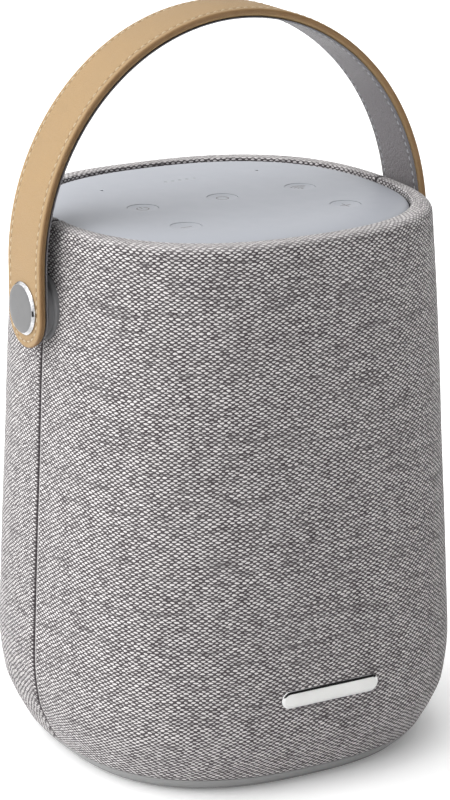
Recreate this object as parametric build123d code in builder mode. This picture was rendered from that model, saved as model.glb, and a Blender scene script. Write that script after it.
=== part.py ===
from build123d import *
import math
import os

os.makedirs("parts", exist_ok=True)

# Carry-handle smart speaker. Millimetres, +Z up, front towards -Y, +X to the right seen from
# the front. The origin is the centre of the foot on the surface that the speaker stands on.

# ---------------------------------------------------------------- driving dimensions
body_width = 139.0  # across X at the widest level
body_depth = 135.0  # across Y at the widest level
body_height = 177.5
squareness = 2.55  # exponent of the superellipse that every body level follows
outline_points = 32

fabric_thickness = 1.0
fabric_bottom = 5.5
shell_wall = 2.4
layer_gap = 0.2  # glue line between the fabric and what it covers
rim_radius = 2.7

panel_half_x = 57.05
panel_half_y = 54.05
panel_squareness = 2.4
panel_top = 177.75
panel_underside = 173.3

button_pitch_x = 28.65
button_pitch_y = 27.4
button_radius = 4.9
button_clearance = 0.1
button_dip = 0.35
button_travel = 0.5

woofer_level = 70.0
woofer_radius = 52.0
baffle_face = 40.0  # distance of the front and the rear baffle faces from the middle plane
box_bottom = 12.0
box_top = 128.0
box_wall = 2.6

pivot_level = 151.1
pin_radius = 3.0
pin_clearance = 0.05
rivet_radius = 8.4
overall_half_width = 72.0

strap_width = 21.5
strap_outer = 70.8  # outer face of the strap's legs, from the middle plane
strap_thickness = 3.3
arch_centre = 163.3
arch_rise = 76.1
strap_end_drop = 12.6  # from the pivot down to the strap's rounded end

# Half width of the body along X at each level; the depth follows in proportion.
body_levels = [0.8, 2.9, 5.5, 9.0, 13.5, 21.5, 35.0, 53.0, 77.0, 101.0, 125.5, 149.5, 166.0]
body_halves = [55.6, 59.0, 61.0, 63.0, 65.3, 68.2, 69.5, 68.85, 67.8, 66.6, 65.55, 64.25, 63.2]
top_half = 62.4  # half width that the rim's rounding starts from


def superellipse(half_x, half_y, exponent):
    """Points on |x/half_x|^exponent + |y/half_y|^exponent = 1, counter-clockwise."""
    points = []
    for i in range(outline_points):
        angle = 2 * math.pi * (i + 0.5) / outline_points
        c, s = math.cos(angle), math.sin(angle)
        reach = (abs(c / half_x) ** exponent + abs(s / half_y) ** exponent) ** (-1 / exponent)
        points.append((reach * c, reach * s))
    return points


def half_at(level):
    """Half width of the body at a level, by a straight line between the listed levels."""
    levels = body_levels + [body_height]
    halves = body_halves + [top_half]
    for (z0, a0), (z1, a1) in zip(zip(levels, halves), zip(levels[1:], halves[1:])):
        if level <= z1:
            return a0 + (a1 - a0) * (level - z0) / (z1 - z0)
    return top_half


def body_blank(inset, bottom, top, rounding=0.0):
    """Solid body between two levels, its wall moved inwards by inset."""
    inner_levels = [z for z in body_levels if bottom + 1.5 < z < top - 1.5]
    with BuildPart() as blank:
        for level in [bottom] + inner_levels + [top]:
            half_x = half_at(level) - inset
            half_y = half_x * body_depth / body_width
            with BuildSketch(Plane.XY.offset(level)):
                with BuildLine():
                    Spline(*superellipse(half_x, half_y, squareness), periodic=True)
                make_face()
        loft()
        if rounding > 0:
            fillet(blank.edges().group_by(Axis.Z)[-1], rounding)
    return blank.part


def plain_prism(half_x, half_y, exponent, bottom, top):
    """Straight superelliptic prism between two levels."""
    with BuildPart() as prism:
        with BuildSketch(Plane.XY.offset(bottom)):
            with BuildLine():
                Spline(*superellipse(half_x, half_y, exponent), periodic=True)
            make_face()
        extrude(amount=top - bottom)
    return prism.part


def facing(y, z=0.0, x=0.0):
    """Upright plane looking to the front (-Y), its local x along X and its local y along Z."""
    return Plane(origin=(x, y, z), x_dir=(1, 0, 0), z_dir=(0, -1, 0))


def axis_plane(y, z):
    """Plane for profiles turned about the Y direction: local x is depth along +Y, local y is radius."""
    return Plane(origin=(0, y, z), x_dir=(0, 1, 0), z_dir=(1, 0, 0))


def finish(piece, name):
    """Label a finished piece and write its STEP file."""
    piece.part.label = name
    export_step(piece.part, f"parts/{name}.step")


half_space = 200.0
front_half = Plane.XZ  # its normal points to the front (-Y)


# ================================================================ body skin and shells
skin_outer = body_blank(0.0, fabric_bottom, body_height, rim_radius)
skin_inner = body_blank(fabric_thickness, fabric_bottom, body_height - fabric_thickness,
                        rim_radius - fabric_thickness)
shell_inset = fabric_thickness + layer_gap
shell_top = 165.0
shell_outer = body_blank(shell_inset, fabric_bottom, shell_top)
shell_inner = body_blank(shell_inset + shell_wall, fabric_bottom, shell_top)
rim_opening = plain_prism(panel_half_x + 0.55, panel_half_y + 0.55, panel_squareness,
                          body_height - 6, body_height + 1)

boss_radius = 6.0
boss_hole = boss_radius + 0.15
port_level = 26.0
port_width = 42.0
port_height = 14.0
port_face = 66.2

# The knitted cover is sewn from a front and a rear panel, with a seam down each side.
for name, side in (("fabric_front", Keep.TOP), ("fabric_rear", Keep.BOTTOM)):
    with BuildPart() as fabric:
        add(skin_outer)
        add(skin_inner, mode=Mode.SUBTRACT)
        add(rim_opening, mode=Mode.SUBTRACT)
        with BuildSketch(Plane.YZ.offset(-half_space / 2)):
            with Locations((0, pivot_level)):
                Circle(boss_hole)
        extrude(amount=half_space, mode=Mode.SUBTRACT)
        with BuildSketch(facing(half_space / 2, port_level)):
            SlotOverall(port_width + 0.4, port_height + 0.4)
        extrude(amount=half_space / 2, mode=Mode.SUBTRACT)
        split(bisect_by=front_half, keep=side)
    finish(fabric, name)

# Moulded grille shells under the cover, with upright slots that let the sound through.
slot_width = 6.0
slot_pitch = 10.5
slot_height = 29.0
slot_row_pitch = 34.0
for name, side, depth in (("grille_shell_front", Keep.TOP, -1), ("grille_shell_rear", Keep.BOTTOM, 1)):
    with BuildPart() as shell:
        add(shell_outer)
        add(shell_inner, mode=Mode.SUBTRACT)
        with BuildSketch(Plane.YZ.offset(-half_space / 2)):
            with Locations((0, pivot_level)):
                Circle(boss_hole)
        extrude(amount=half_space, mode=Mode.SUBTRACT)
        with BuildSketch(facing(half_space / 2, port_level)):
            SlotOverall(port_width + 0.4, port_height + 0.4)
        extrude(amount=half_space / 2, mode=Mode.SUBTRACT)
        split(bisect_by=front_half, keep=side)
        grille_face = facing(0, woofer_level + slot_row_pitch / 2)
        with BuildSketch(grille_face):
            with GridLocations(slot_pitch, slot_row_pitch, 9, 2):
                SlotOverall(slot_height, slot_width, rotation=90)
        extrude(amount=-depth * half_space / 2, mode=Mode.SUBTRACT)
    finish(shell, name)

# ================================================================ base
tray_skin = body_blank(0.35, 0.8, fabric_bottom - 0.1)
tray_wall_outer = body_blank(shell_inset + shell_wall + 0.3, 6.0, 11.0)
tray_wall_inner = body_blank(shell_inset + shell_wall + 2.5, 6.0, 11.0)
foot_half = 50.5
foot_width = 7.0
foot_height = 1.6
foot_scale = body_depth / body_width
foot_outer = plain_prism(foot_half, foot_half * foot_scale, squareness, 0, foot_height)
foot_inner = plain_prism(foot_half - foot_width, (foot_half - foot_width) * foot_scale,
                         squareness, 0, foot_height)
groove_outer = plain_prism(foot_half + 0.1, foot_half * foot_scale + 0.1, squareness, 0,
                           foot_height + 0.1)
groove_inner = plain_prism(foot_half - foot_width - 0.1, (foot_half - foot_width) * foot_scale - 0.1,
                           squareness, 0, foot_height + 0.1)
with BuildPart() as groove:
    add(groove_outer)
    add(groove_inner, mode=Mode.SUBTRACT)

screw_x = 29.0
screw_y = 27.0
screw_head_radius = 2.8
screw_radius = 1.5
contact_pitch = 8.0

with BuildPart() as tray_ring:
    add(tray_wall_outer)
    add(tray_wall_inner, mode=Mode.SUBTRACT)
    with BuildSketch(Plane.XY.offset(5.3)):
        with BuildLine():
            half_ring = half_at(6.0) - shell_inset - shell_wall - 0.3
            Spline(*superellipse(half_ring, half_ring * foot_scale, squareness), periodic=True)
        make_face()
        with BuildLine():
            inner_ring = half_ring - 2.2
            Spline(*superellipse(inner_ring, inner_ring * foot_scale, squareness), periodic=True)
        make_face(mode=Mode.SUBTRACT)
    extrude(amount=0.7)

with BuildPart() as base_tray:
    add(tray_skin)
    add(tray_ring.part)
    add(groove.part, mode=Mode.SUBTRACT)
    with BuildSketch(Plane.XY.offset(fabric_bottom - 0.1)):
        with GridLocations(2 * screw_x, 2 * screw_y, 2, 2):
            Circle(4.5)
    extrude(amount=box_bottom - 0.1 - fabric_bottom + 0.1)
    with BuildSketch(Plane.XY):
        with GridLocations(2 * screw_x, 2 * screw_y, 2, 2):
            Circle(screw_head_radius + 0.2)
        Rectangle(4 * contact_pitch + 0.4, 6.4)
    extrude(amount=3.0, mode=Mode.SUBTRACT)
    with BuildSketch(Plane.XY):
        with GridLocations(2 * screw_x, 2 * screw_y, 2, 2):
            Circle(screw_radius + 0.2)
    extrude(amount=box_bottom, mode=Mode.SUBTRACT)
finish(base_tray, "base_tray")

with BuildPart() as foot_ring:
    add(foot_outer)
    add(foot_inner, mode=Mode.SUBTRACT)
finish(foot_ring, "foot_ring")

with BuildPart() as base_screws:
    with BuildSketch(Plane.XY.offset(1.2)):
        with GridLocations(2 * screw_x, 2 * screw_y, 2, 2):
            Circle(screw_head_radius)
            RegularPolygon(1.2, 6, mode=Mode.SUBTRACT)
    extrude(amount=1.2)
    with BuildSketch(Plane.XY.offset(2.4)):
        with GridLocations(2 * screw_x, 2 * screw_y, 2, 2):
            Circle(screw_head_radius)
    extrude(amount=0.6)
    with BuildSketch(Plane.XY.offset(3.0)):
        with GridLocations(2 * screw_x, 2 * screw_y, 2, 2):
            Circle(screw_radius)
    extrude(amount=14.5)
finish(base_screws, "base_screws")

with BuildPart() as charging_contacts:
    with BuildSketch(Plane.XY.offset(1.0)):
        with GridLocations(contact_pitch, 0, 4, 1):
            RectangleRounded(6.4, 5.2, 1.0)
    extrude(amount=2.0)
finish(charging_contacts, "charging_contacts")

# ================================================================ top frame and control panel
frame_skin = body_blank(shell_inset, shell_top + 0.1, body_height - shell_inset,
                        rim_radius - shell_inset)
with BuildPart() as top_frame:
    add(frame_skin)
    add(plain_prism(panel_half_x + 0.6, panel_half_y + 0.6, panel_squareness,
                    panel_underside - 0.1, body_height), mode=Mode.SUBTRACT)
    add(plain_prism(panel_half_x - 4.5, panel_half_y - 4.5, panel_squareness,
                    shell_top, panel_underside), mode=Mode.SUBTRACT)
finish(top_frame, "top_frame")

mic_hole_radius = 0.55
mic_level_y = 27.0
led_pitch = 2.6
led_count = 5
crown_levels = [175.0, 175.8, 176.55, 177.15, 177.5, panel_top]
crown_shrink = [0.0, 0.35, 1.5, 4.2, 7.6, 12.0]
button_places = {
    "power_button": (-button_pitch_x, 0.0),
    "assistant_button": (0.0, 0.0),
    "wireless_button": (button_pitch_x, 0.0),
    "volume_down_button": (-button_pitch_x, -button_pitch_y),
    "volume_up_button": (button_pitch_x, -button_pitch_y),
}

with BuildPart() as panel_crown:
    for level, shrink in zip(crown_levels, crown_shrink):
        with BuildSketch(Plane.XY.offset(level)):
            with BuildLine():
                Spline(*superellipse(panel_half_x - shrink, panel_half_y - shrink,
                                     panel_squareness), periodic=True)
            make_face()
    loft()

stem_radius = 1.6
flange_top = panel_underside - 0.1
flange_bottom = panel_underside - 1.0
stem_bottom = flange_bottom - 0.35
switch_top = stem_bottom - button_travel - 0.1
board_top = switch_top - 4.0
board_thickness = 1.6
post_x = 38.0
post_y = 18.0

with BuildPart() as control_panel:
    add(plain_prism(panel_half_x, panel_half_y, panel_squareness, panel_underside, crown_levels[0]))
    add(panel_crown.part)
    with BuildSketch(Plane.XY.offset(board_top)):
        with GridLocations(2 * post_x, 2 * post_y, 2, 2):
            Circle(3.0)
    extrude(amount=panel_underside - board_top)
    with BuildSketch(Plane.XY.offset(board_top)):
        with GridLocations(2 * post_x, 2 * post_y, 2, 2):
            Circle(1.25)
    extrude(amount=6.0, mode=Mode.SUBTRACT)
    with BuildSketch(Plane.XY.offset(panel_underside)):
        with Locations(*button_places.values()):
            Circle(button_radius + button_clearance)
        with Locations((-button_pitch_x, mic_level_y), (button_pitch_x, mic_level_y)):
            Circle(mic_hole_radius)
        with Locations((0, button_pitch_y)):
            with GridLocations(led_pitch, 0, led_count, 1):
                Circle(0.65)
    extrude(amount=6, mode=Mode.SUBTRACT)
finish(control_panel, "control_panel")

for name, place in button_places.items():
    with BuildPart() as button:
        with BuildSketch(Plane.XY.offset(stem_bottom)):
            with Locations(place):
                Circle(stem_radius)
        extrude(amount=flange_bottom - stem_bottom)
        with BuildSketch(Plane.XY.offset(flange_bottom)):
            with Locations(place):
                Circle(button_radius + 1.0)
        extrude(amount=flange_top - flange_bottom)
        with BuildSketch(Plane.XY.offset(flange_top)):
            with Locations(place):
                Circle(button_radius)
        extrude(amount=panel_top - button_dip - flange_top)
        fillet(button.edges().group_by(Axis.Z)[-1], 0.15)
    finish(button, name)

with BuildPart() as light_guide:
    with BuildSketch(Plane.XY.offset(panel_underside - 1.7)):
        with Locations((0, button_pitch_y)):
            RectangleRounded(15.0, 3.2, 0.8)
    extrude(amount=1.6)
    with BuildSketch(Plane.XY.offset(panel_underside - 0.1)):
        with Locations((0, button_pitch_y)):
            with GridLocations(led_pitch, 0, led_count, 1):
                Circle(0.55)
    extrude(amount=panel_top - 0.05 - panel_underside + 0.1)
finish(light_guide, "light_guide")

# ================================================================ control electronics
with BuildPart() as control_board:
    with BuildSketch(Plane.XY.offset(board_top - board_thickness)):
        RectangleRounded(86, 64, 8)
        with GridLocations(2 * post_x, 2 * post_y, 2, 2):
            Circle(1.6, mode=Mode.SUBTRACT)
    extrude(amount=board_thickness)
finish(control_board, "control_board")

with BuildPart() as tact_switches:
    with BuildSketch(Plane.XY.offset(board_top)):
        with Locations(*button_places.values()):
            RectangleRounded(6.2, 6.2, 0.4)
    extrude(amount=3.2)
    with BuildSketch(Plane.XY.offset(board_top + 3.2)):
        with Locations(*button_places.values()):
            Circle(1.7)
    extrude(amount=0.8)
finish(tact_switches, "tact_switches")

with BuildPart() as status_leds:
    with BuildSketch(Plane.XY.offset(board_top)):
        with Locations((0, button_pitch_y)):
            with GridLocations(led_pitch, 0, led_count, 1):
                Rectangle(1.6, 0.8)
    extrude(amount=0.7)
finish(status_leds, "status_leds")

with BuildPart() as microphones:
    mic_places = [(-button_pitch_x, mic_level_y), (button_pitch_x, mic_level_y)]
    with BuildSketch(Plane.XY.offset(board_top)):
        with Locations(*mic_places):
            RectangleRounded(4.0, 3.0, 0.3)
    extrude(amount=1.1)
    with BuildSketch(Plane.XY.offset(board_top + 1.1)):
        with Locations(*mic_places):
            Circle(1.4)
            Circle(mic_hole_radius, mode=Mode.SUBTRACT)
    extrude(amount=panel_underside - board_top - 1.2)
finish(microphones, "microphones")

# ================================================================ acoustic box
box_inset = shell_inset + shell_wall + 0.5
box_outer = body_blank(box_inset, box_bottom, box_top)
box_inner = body_blank(box_inset + box_wall, box_bottom + box_wall, box_top - box_wall)
baffle_opening = 47.0
radiator_opening = 39.0
bracket_half = 40.0
bracket_top = 164.0
tweeter_level = 147.5
tweeter_opening = 15.3
woofer_screw_circle = 49.6
rail_x = 38.5
rail_width = 5.0
board_x = 36.0
board_y = 26.0
screw_boss_top = 21.0

with BuildPart() as front_cavity:
    add(box_inner)
    split(bisect_by=front_half, keep=Keep.TOP)
    split(bisect_by=facing(-baffle_face + box_wall), keep=Keep.BOTTOM)

with BuildPart() as rear_cavity:
    add(box_inner)
    split(bisect_by=front_half, keep=Keep.BOTTOM)
    split(bisect_by=facing(baffle_face - box_wall), keep=Keep.TOP)

with BuildPart() as enclosure_front:
    add(box_outer)
    split(bisect_by=front_half, keep=Keep.TOP)
    split(bisect_by=facing(-baffle_face), keep=Keep.BOTTOM)
    add(front_cavity.part, mode=Mode.SUBTRACT)
    with BuildSketch(facing(-baffle_face + box_wall, (box_top - box_wall + bracket_top) / 2)):
        Rectangle(2 * bracket_half, bracket_top - box_top + box_wall)
    extrude(amount=box_wall)
    with BuildSketch(facing(-baffle_face + box_wall, woofer_level)):
        with PolarLocations(woofer_screw_circle, 4, start_angle=45):
            Circle(4.2)
    extrude(amount=-7.0)
    with BuildSketch(Plane.XY.offset(box_bottom)):
        with Locations((-screw_x, -screw_y), (screw_x, -screw_y)):
            Circle(4.5)
    extrude(amount=screw_boss_top - box_bottom)
    with BuildSketch(facing(-baffle_face + 10, woofer_level)):
        Circle(baffle_opening)
        with PolarLocations(woofer_screw_circle, 4, start_angle=45):
            Circle(1.75)
    extrude(amount=12, mode=Mode.SUBTRACT)
    with BuildSketch(facing(-baffle_face + 10, tweeter_level)):
        Circle(tweeter_opening)
    extrude(amount=12, mode=Mode.SUBTRACT)
    with BuildSketch(Plane.XY.offset(box_bottom)):
        with Locations((-screw_x, -screw_y), (screw_x, -screw_y)):
            Circle(screw_radius + 0.05)
    extrude(amount=6.5, mode=Mode.SUBTRACT)
finish(enclosure_front, "enclosure_front")

with BuildPart() as enclosure_rear:
    add(box_outer)
    split(bisect_by=front_half, keep=Keep.BOTTOM)
    split(bisect_by=facing(baffle_face), keep=Keep.TOP)
    add(rear_cavity.part, mode=Mode.SUBTRACT)
    with BuildSketch(Plane.XY.offset(box_top - box_wall)):
        with Locations((-rail_x, board_y + 0.8), (rail_x, board_y + 0.8)):
            Rectangle(rail_width, 8.0)
    extrude(amount=24.0 + box_wall)
    with BuildSketch(Plane.XY.offset(box_top + 1.8)):
        with Locations((0, board_y + 0.8)):
            Rectangle(2 * board_x + 0.6, 2.0)
    extrude(amount=30.0, mode=Mode.SUBTRACT)
    with BuildSketch(facing(baffle_face + 1, woofer_level)):
        Circle(radiator_opening)
    extrude(amount=box_wall + 2, mode=Mode.SUBTRACT)
    with BuildSketch(Plane.XY.offset(box_bottom)):
        with Locations((-screw_x, screw_y), (screw_x, screw_y)):
            Circle(4.5)
    extrude(amount=screw_boss_top - box_bottom)
    with BuildSketch(Plane.XY.offset(box_bottom)):
        with Locations((-screw_x, screw_y), (screw_x, screw_y)):
            Circle(screw_radius + 0.05)
    extrude(amount=6.5, mode=Mode.SUBTRACT)
finish(enclosure_rear, "enclosure_rear")

# ================================================================ woofer
# Depths are measured from the baffle's outer face, positive towards the inside.
woofer_plane = axis_plane(-baffle_face, woofer_level)
woofer_axis = Axis((0, -baffle_face, woofer_level), (0, 1, 0))
flange_depth = 2.5
cone_rim = 38.5
coil_inner = 12.95
coil_outer = 13.45
pole_radius = 12.4
gap_radius = 14.4

with BuildPart() as woofer_basket:
    with BuildSketch(woofer_plane):
        with BuildLine():
            Polyline((-flange_depth, 44.6), (-flange_depth, woofer_radius), (0, woofer_radius),
                     (0, 46.3), (4, 46.3), (24.5, 31.5), (26, 31.5), (26, 16.5), (24.5, 16.5),
                     (24.5, 29.8), (4, 44.6), close=True)
        make_face()
    revolve(axis=woofer_axis)
    with BuildSketch(facing(-baffle_face + 5.5, woofer_level)):
        with PolarLocations(38.0, 6):
            RectangleRounded(9.0, 20.0, 2.0)
    extrude(amount=-17.0, mode=Mode.SUBTRACT)
    with BuildSketch(facing(-baffle_face, woofer_level)):
        with PolarLocations(woofer_screw_circle, 4, start_angle=45):
            Circle(1.85)
    extrude(amount=flange_depth, mode=Mode.SUBTRACT)
finish(woofer_basket, "woofer_basket")

with BuildPart() as woofer_screws:
    with BuildSketch(facing(-baffle_face - flange_depth, woofer_level)):
        with PolarLocations(woofer_screw_circle, 4, start_angle=45):
            Circle(2.3)
    extrude(amount=1.6)
    with BuildSketch(facing(-baffle_face - flange_depth, woofer_level)):
        with PolarLocations(woofer_screw_circle, 4, start_angle=45):
            Circle(1.65)
    extrude(amount=-11.0)
    with BuildSketch(facing(-baffle_face - flange_depth - 1.6, woofer_level)):
        with PolarLocations(woofer_screw_circle, 4, start_angle=45):
            RegularPolygon(1.2, 6)
    extrude(amount=-0.9, mode=Mode.SUBTRACT)
finish(woofer_screws, "woofer_screws")

with BuildPart() as woofer_top_plate:
    with BuildSketch(facing(-baffle_face + 30.0, woofer_level)):
        Circle(31.0)
        Circle(gap_radius, mode=Mode.SUBTRACT)
    extrude(amount=3.95)
finish(woofer_top_plate, "woofer_top_plate")

with BuildPart() as woofer_magnet:
    with BuildSketch(facing(-baffle_face + 42.0, woofer_level)):
        Circle(36.0)
        Circle(17.0, mode=Mode.SUBTRACT)
    extrude(amount=11.95)
    fillet(woofer_magnet.edges().filter_by(GeomType.CIRCLE).sort_by(SortBy.RADIUS)[-2:], 0.8)
finish(woofer_magnet, "woofer_magnet")

with BuildPart() as woofer_yoke:
    with BuildSketch(facing(-baffle_face + 46.0, woofer_level)):
        Circle(33.0)
    extrude(amount=3.95)
    with BuildSketch(facing(-baffle_face + 42.1, woofer_level)):
        Circle(pole_radius)
    extrude(amount=15.1)
    with BuildSketch(facing(-baffle_face + 47.0, woofer_level)):
        Circle(4.0)
    extrude(amount=21.0, mode=Mode.SUBTRACT)
finish(woofer_yoke, "woofer_yoke")

with BuildPart() as woofer_cone:
    with BuildSketch(woofer_plane):
        with BuildLine():
            Polyline((-flange_depth, cone_rim), (-flange_depth + 1.0, cone_rim), (18.2, 14.4),
                     (18.2, coil_outer + 0.1), (17.2, coil_outer + 0.1),
                     (-flange_depth, cone_rim - 1.2), close=True)
        make_face()
    revolve(axis=woofer_axis)
finish(woofer_cone, "woofer_cone")

with BuildPart() as woofer_voice_coil:
    with BuildSketch(woofer_plane):
        with BuildLine():
            Polyline((15.9, coil_inner), (15.9, coil_outer), (27.0, coil_outer), (27.0, coil_outer + 0.45),
                     (35.0, coil_outer + 0.45), (35.0, coil_outer), (36.0, coil_outer),
                     (36.0, coil_inner), close=True)
        make_face()
    revolve(axis=woofer_axis)
finish(woofer_voice_coil, "woofer_voice_coil")

cap_radius = 24.8
cap_reach = 37.8  # degrees from the cap's middle to its rim
with BuildPart() as woofer_dust_cap:
    with BuildSketch(woofer_plane):
        with BuildLine():
            front_arc = CenterArc((34.5, 0), cap_radius, 180 - cap_reach, cap_reach)
            rear_arc = CenterArc((34.5, 0), cap_radius - 0.6, 180 - cap_reach, cap_reach)
            Line(front_arc @ 0, rear_arc @ 0)
            Line(front_arc @ 1, rear_arc @ 1)
        make_face()
    revolve(axis=woofer_axis)
finish(woofer_dust_cap, "woofer_dust_cap")

roll_radius = 41.9
with BuildPart() as woofer_surround:
    with BuildSketch(woofer_plane):
        with Locations((-flange_depth - 0.45, roll_radius)):
            Circle(3.6)
            Circle(2.8, mode=Mode.SUBTRACT)
        with Locations((-flange_depth - 0.45 + 5, roll_radius)):
            Rectangle(10, 12, mode=Mode.SUBTRACT)
        with Locations((-flange_depth - 0.45, roll_radius - 4.0)):
            Rectangle(0.8, 2.0)
        with Locations((-flange_depth - 0.45, roll_radius + 4.0)):
            Rectangle(0.8, 2.0)
    revolve(axis=woofer_axis)
finish(woofer_surround, "woofer_surround")

spider_waves = 4
spider_inner = coil_outer + 0.15
spider_outer = 32.3
spider_wave = (spider_outer - spider_inner) / spider_waves
with BuildPart() as woofer_spider:
    with BuildSketch(woofer_plane):
        with BuildLine():
            front_edge = [(20.0 - 0.3 + 0.8 * (i % 2), spider_inner + i * spider_wave / 2)
                          for i in range(2 * spider_waves + 1)]
            rear_edge = [(depth + 0.6, radius) for depth, radius in reversed(front_edge)]
            Polyline(*front_edge, *rear_edge, close=True)
        make_face()
    revolve(axis=woofer_axis)
finish(woofer_spider, "woofer_spider")

# ================================================================ tweeter
tweeter_plane = axis_plane(-baffle_face, tweeter_level)
tweeter_axis = Axis((0, -baffle_face, tweeter_level), (0, 1, 0))
with BuildPart() as tweeter_housing:
    with BuildSketch(tweeter_plane):
        with BuildLine():
            Polyline((-2, 10.9), (-2, 17.8), (-0.05, 17.8), (-0.05, 15), (11, 15), (11, 0), (9.6, 0),
                     (9.6, 13.6), (-0.8, 13.6), (-0.8, 10.9), close=True)
        make_face()
    revolve(axis=tweeter_axis)
finish(tweeter_housing, "tweeter_housing")

dome_radius = 17.6
dome_reach = 36.2  # degrees from the dome's middle to its rim
with BuildPart() as tweeter_dome:
    with BuildSketch(tweeter_plane):
        with BuildLine():
            front_arc = CenterArc((13.6, 0), dome_radius, 180 - dome_reach, dome_reach)
            rear_arc = CenterArc((13.6, 0), dome_radius - 0.4, 180 - dome_reach, dome_reach)
            Line(front_arc @ 0, rear_arc @ 0)
            Line(front_arc @ 1, rear_arc @ 1)
        make_face()
    revolve(axis=tweeter_axis)
finish(tweeter_dome, "tweeter_dome")

with BuildPart() as tweeter_magnet:
    with BuildSketch(facing(-baffle_face + 9.5, tweeter_level)):
        Circle(12.5)
    extrude(amount=7.5)
    chamfer(tweeter_magnet.edges().filter_by(GeomType.CIRCLE), 0.6)
finish(tweeter_magnet, "tweeter_magnet")

# ================================================================ passive radiator
# Depths are measured from the rear baffle face, positive towards the rear.
radiator_plane = axis_plane(baffle_face, woofer_level)
radiator_axis = Axis((0, baffle_face, woofer_level), (0, 1, 0))
radiator_flange = 3.2
radiator_disc = 30.5
radiator_roll = 33.9
with BuildPart() as radiator_frame:
    with BuildSketch(radiator_plane):
        with BuildLine():
            Polyline((0.05, 46), (radiator_flange, 46), (radiator_flange, 36.9), (-4, 36.9), (-4, 38.6),
                     (0.05, 38.6), close=True)
        make_face()
    revolve(axis=radiator_axis)
finish(radiator_frame, "radiator_frame")

with BuildPart() as radiator_surround:
    with BuildSketch(radiator_plane):
        with Locations((radiator_flange + 0.45, radiator_roll)):
            Circle(3.6)
            Circle(2.8, mode=Mode.SUBTRACT)
        with Locations((radiator_flange + 0.45 - 5, radiator_roll)):
            Rectangle(10, 12, mode=Mode.SUBTRACT)
        with Locations((radiator_flange + 0.45, radiator_roll - 4.0)):
            Rectangle(0.8, 2.0)
        with Locations((radiator_flange + 0.45, radiator_roll + 4.0)):
            Rectangle(0.8, 2.0)
    revolve(axis=radiator_axis)
finish(radiator_surround, "radiator_surround")

with BuildPart() as radiator_diaphragm:
    with BuildSketch(radiator_plane):
        with BuildLine():
            Polyline((-3.0, 0), (-3.0, 14), (1.2, 14), (1.2, radiator_disc),
                     (radiator_flange, radiator_disc), (radiator_flange, 0), close=True)
        make_face()
    revolve(axis=radiator_axis)
finish(radiator_diaphragm, "radiator_diaphragm")

# ================================================================ battery
cell_radius = 9.2
cell_length = 65.0
cell_pitch = 20.4
cell_level = 139.8
cell_y = -5.0
cell_places = [(cell_y - cell_pitch / 2, cell_level), (cell_y + cell_pitch / 2, cell_level)]
with BuildPart() as battery_holder:
    with BuildSketch(Plane.XY.offset(box_top + 0.2)):
        with Locations((0, cell_y)):
            RectangleRounded(73.0, 42.6, 2.0)
    extrude(amount=18.0)
    with BuildSketch(Plane.YZ.offset(-33.2)):
        with Locations(*cell_places):
            Circle(cell_radius + 0.3)
        with Locations(*[(y, z + 10) for y, z in cell_places]):
            Rectangle(2 * cell_radius + 0.6, 20)
    extrude(amount=66.4, mode=Mode.SUBTRACT)
finish(battery_holder, "battery_holder")

with BuildPart() as battery_cells:
    with BuildSketch(Plane.YZ.offset(-cell_length / 2)):
        with Locations(*cell_places):
            Circle(cell_radius)
    extrude(amount=cell_length - 0.8)
    with BuildSketch(Plane.YZ.offset(cell_length / 2 - 0.8)):
        with Locations(*cell_places):
            Circle(3.0)
    extrude(amount=0.8)
finish(battery_cells, "battery_cells")

# ================================================================ main electronics
main_board_bottom = box_top + 2.0
main_board_top = 163.0
with BuildPart() as main_board:
    with BuildSketch(facing(board_y + board_thickness, (main_board_bottom + main_board_top) / 2)):
        RectangleRounded(2 * board_x, main_board_top - main_board_bottom, 1.5)
    extrude(amount=board_thickness)
finish(main_board, "main_board")

component_face = board_y + board_thickness + 0.05
with BuildPart() as shield_can:
    with BuildSketch(facing(component_face + 3.2, 147.0, -17.0)):
        RectangleRounded(26.0, 24.0, 1.5)
    extrude(amount=3.2)
finish(shield_can, "shield_can")

fin_count = 8
fin_pitch = 3.4
with BuildPart() as heat_sink:
    with BuildSketch(facing(component_face + 2.4, 147.0, 17.0)):
        Rectangle(27.0, 24.0)
    extrude(amount=2.4)
    with BuildSketch(facing(component_face + 11.0, 147.0, 17.0)):
        with GridLocations(fin_pitch, 0, fin_count, 1):
            Rectangle(1.2, 24.0)
    extrude(amount=8.6)
finish(heat_sink, "heat_sink")

with BuildPart() as ribbon_cable:
    with BuildSketch(Plane.YZ.offset(-8.0)):
        with BuildLine():
            FilletPolyline((25.6, 148.0), (25.6, 165.2), (8.0, 165.2), radius=2.5)
        trace(line_width=0.35)
    extrude(amount=16.0)
finish(ribbon_cable, "ribbon_cable")

# ================================================================ rear port
socket_x = -9.0
slider_x = 9.0
bezel_back = 58.5
with BuildPart() as port_bezel:
    with BuildSketch(facing(port_face, port_level)):
        SlotOverall(port_width, port_height)
    extrude(amount=port_face - bezel_back)
    fillet(port_bezel.edges().group_by(Axis.Y)[-1], 0.6)
    with BuildSketch(facing(bezel_back, port_level)):
        with Locations((-17.5, 0), (17.5, 0)):
            Circle(1.6)
    extrude(amount=1.8)
    with BuildSketch(facing(port_face, port_level)):
        with Locations((socket_x, 0)):
            SlotOverall(9.6, 3.9)
        with Locations((slider_x, 0)):
            RectangleRounded(8.4, 3.6, 0.5)
    extrude(amount=port_face - bezel_back, mode=Mode.SUBTRACT)
    with BuildSketch(facing(port_face, port_level)):
        with Locations((slider_x, 0)):
            RectangleRounded(12.4, 6.6, 1.2)
        with Locations((socket_x, 0)):
            SlotOverall(12.6, 6.8)
    extrude(amount=1.2, mode=Mode.SUBTRACT)
finish(port_bezel, "port_bezel")

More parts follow.
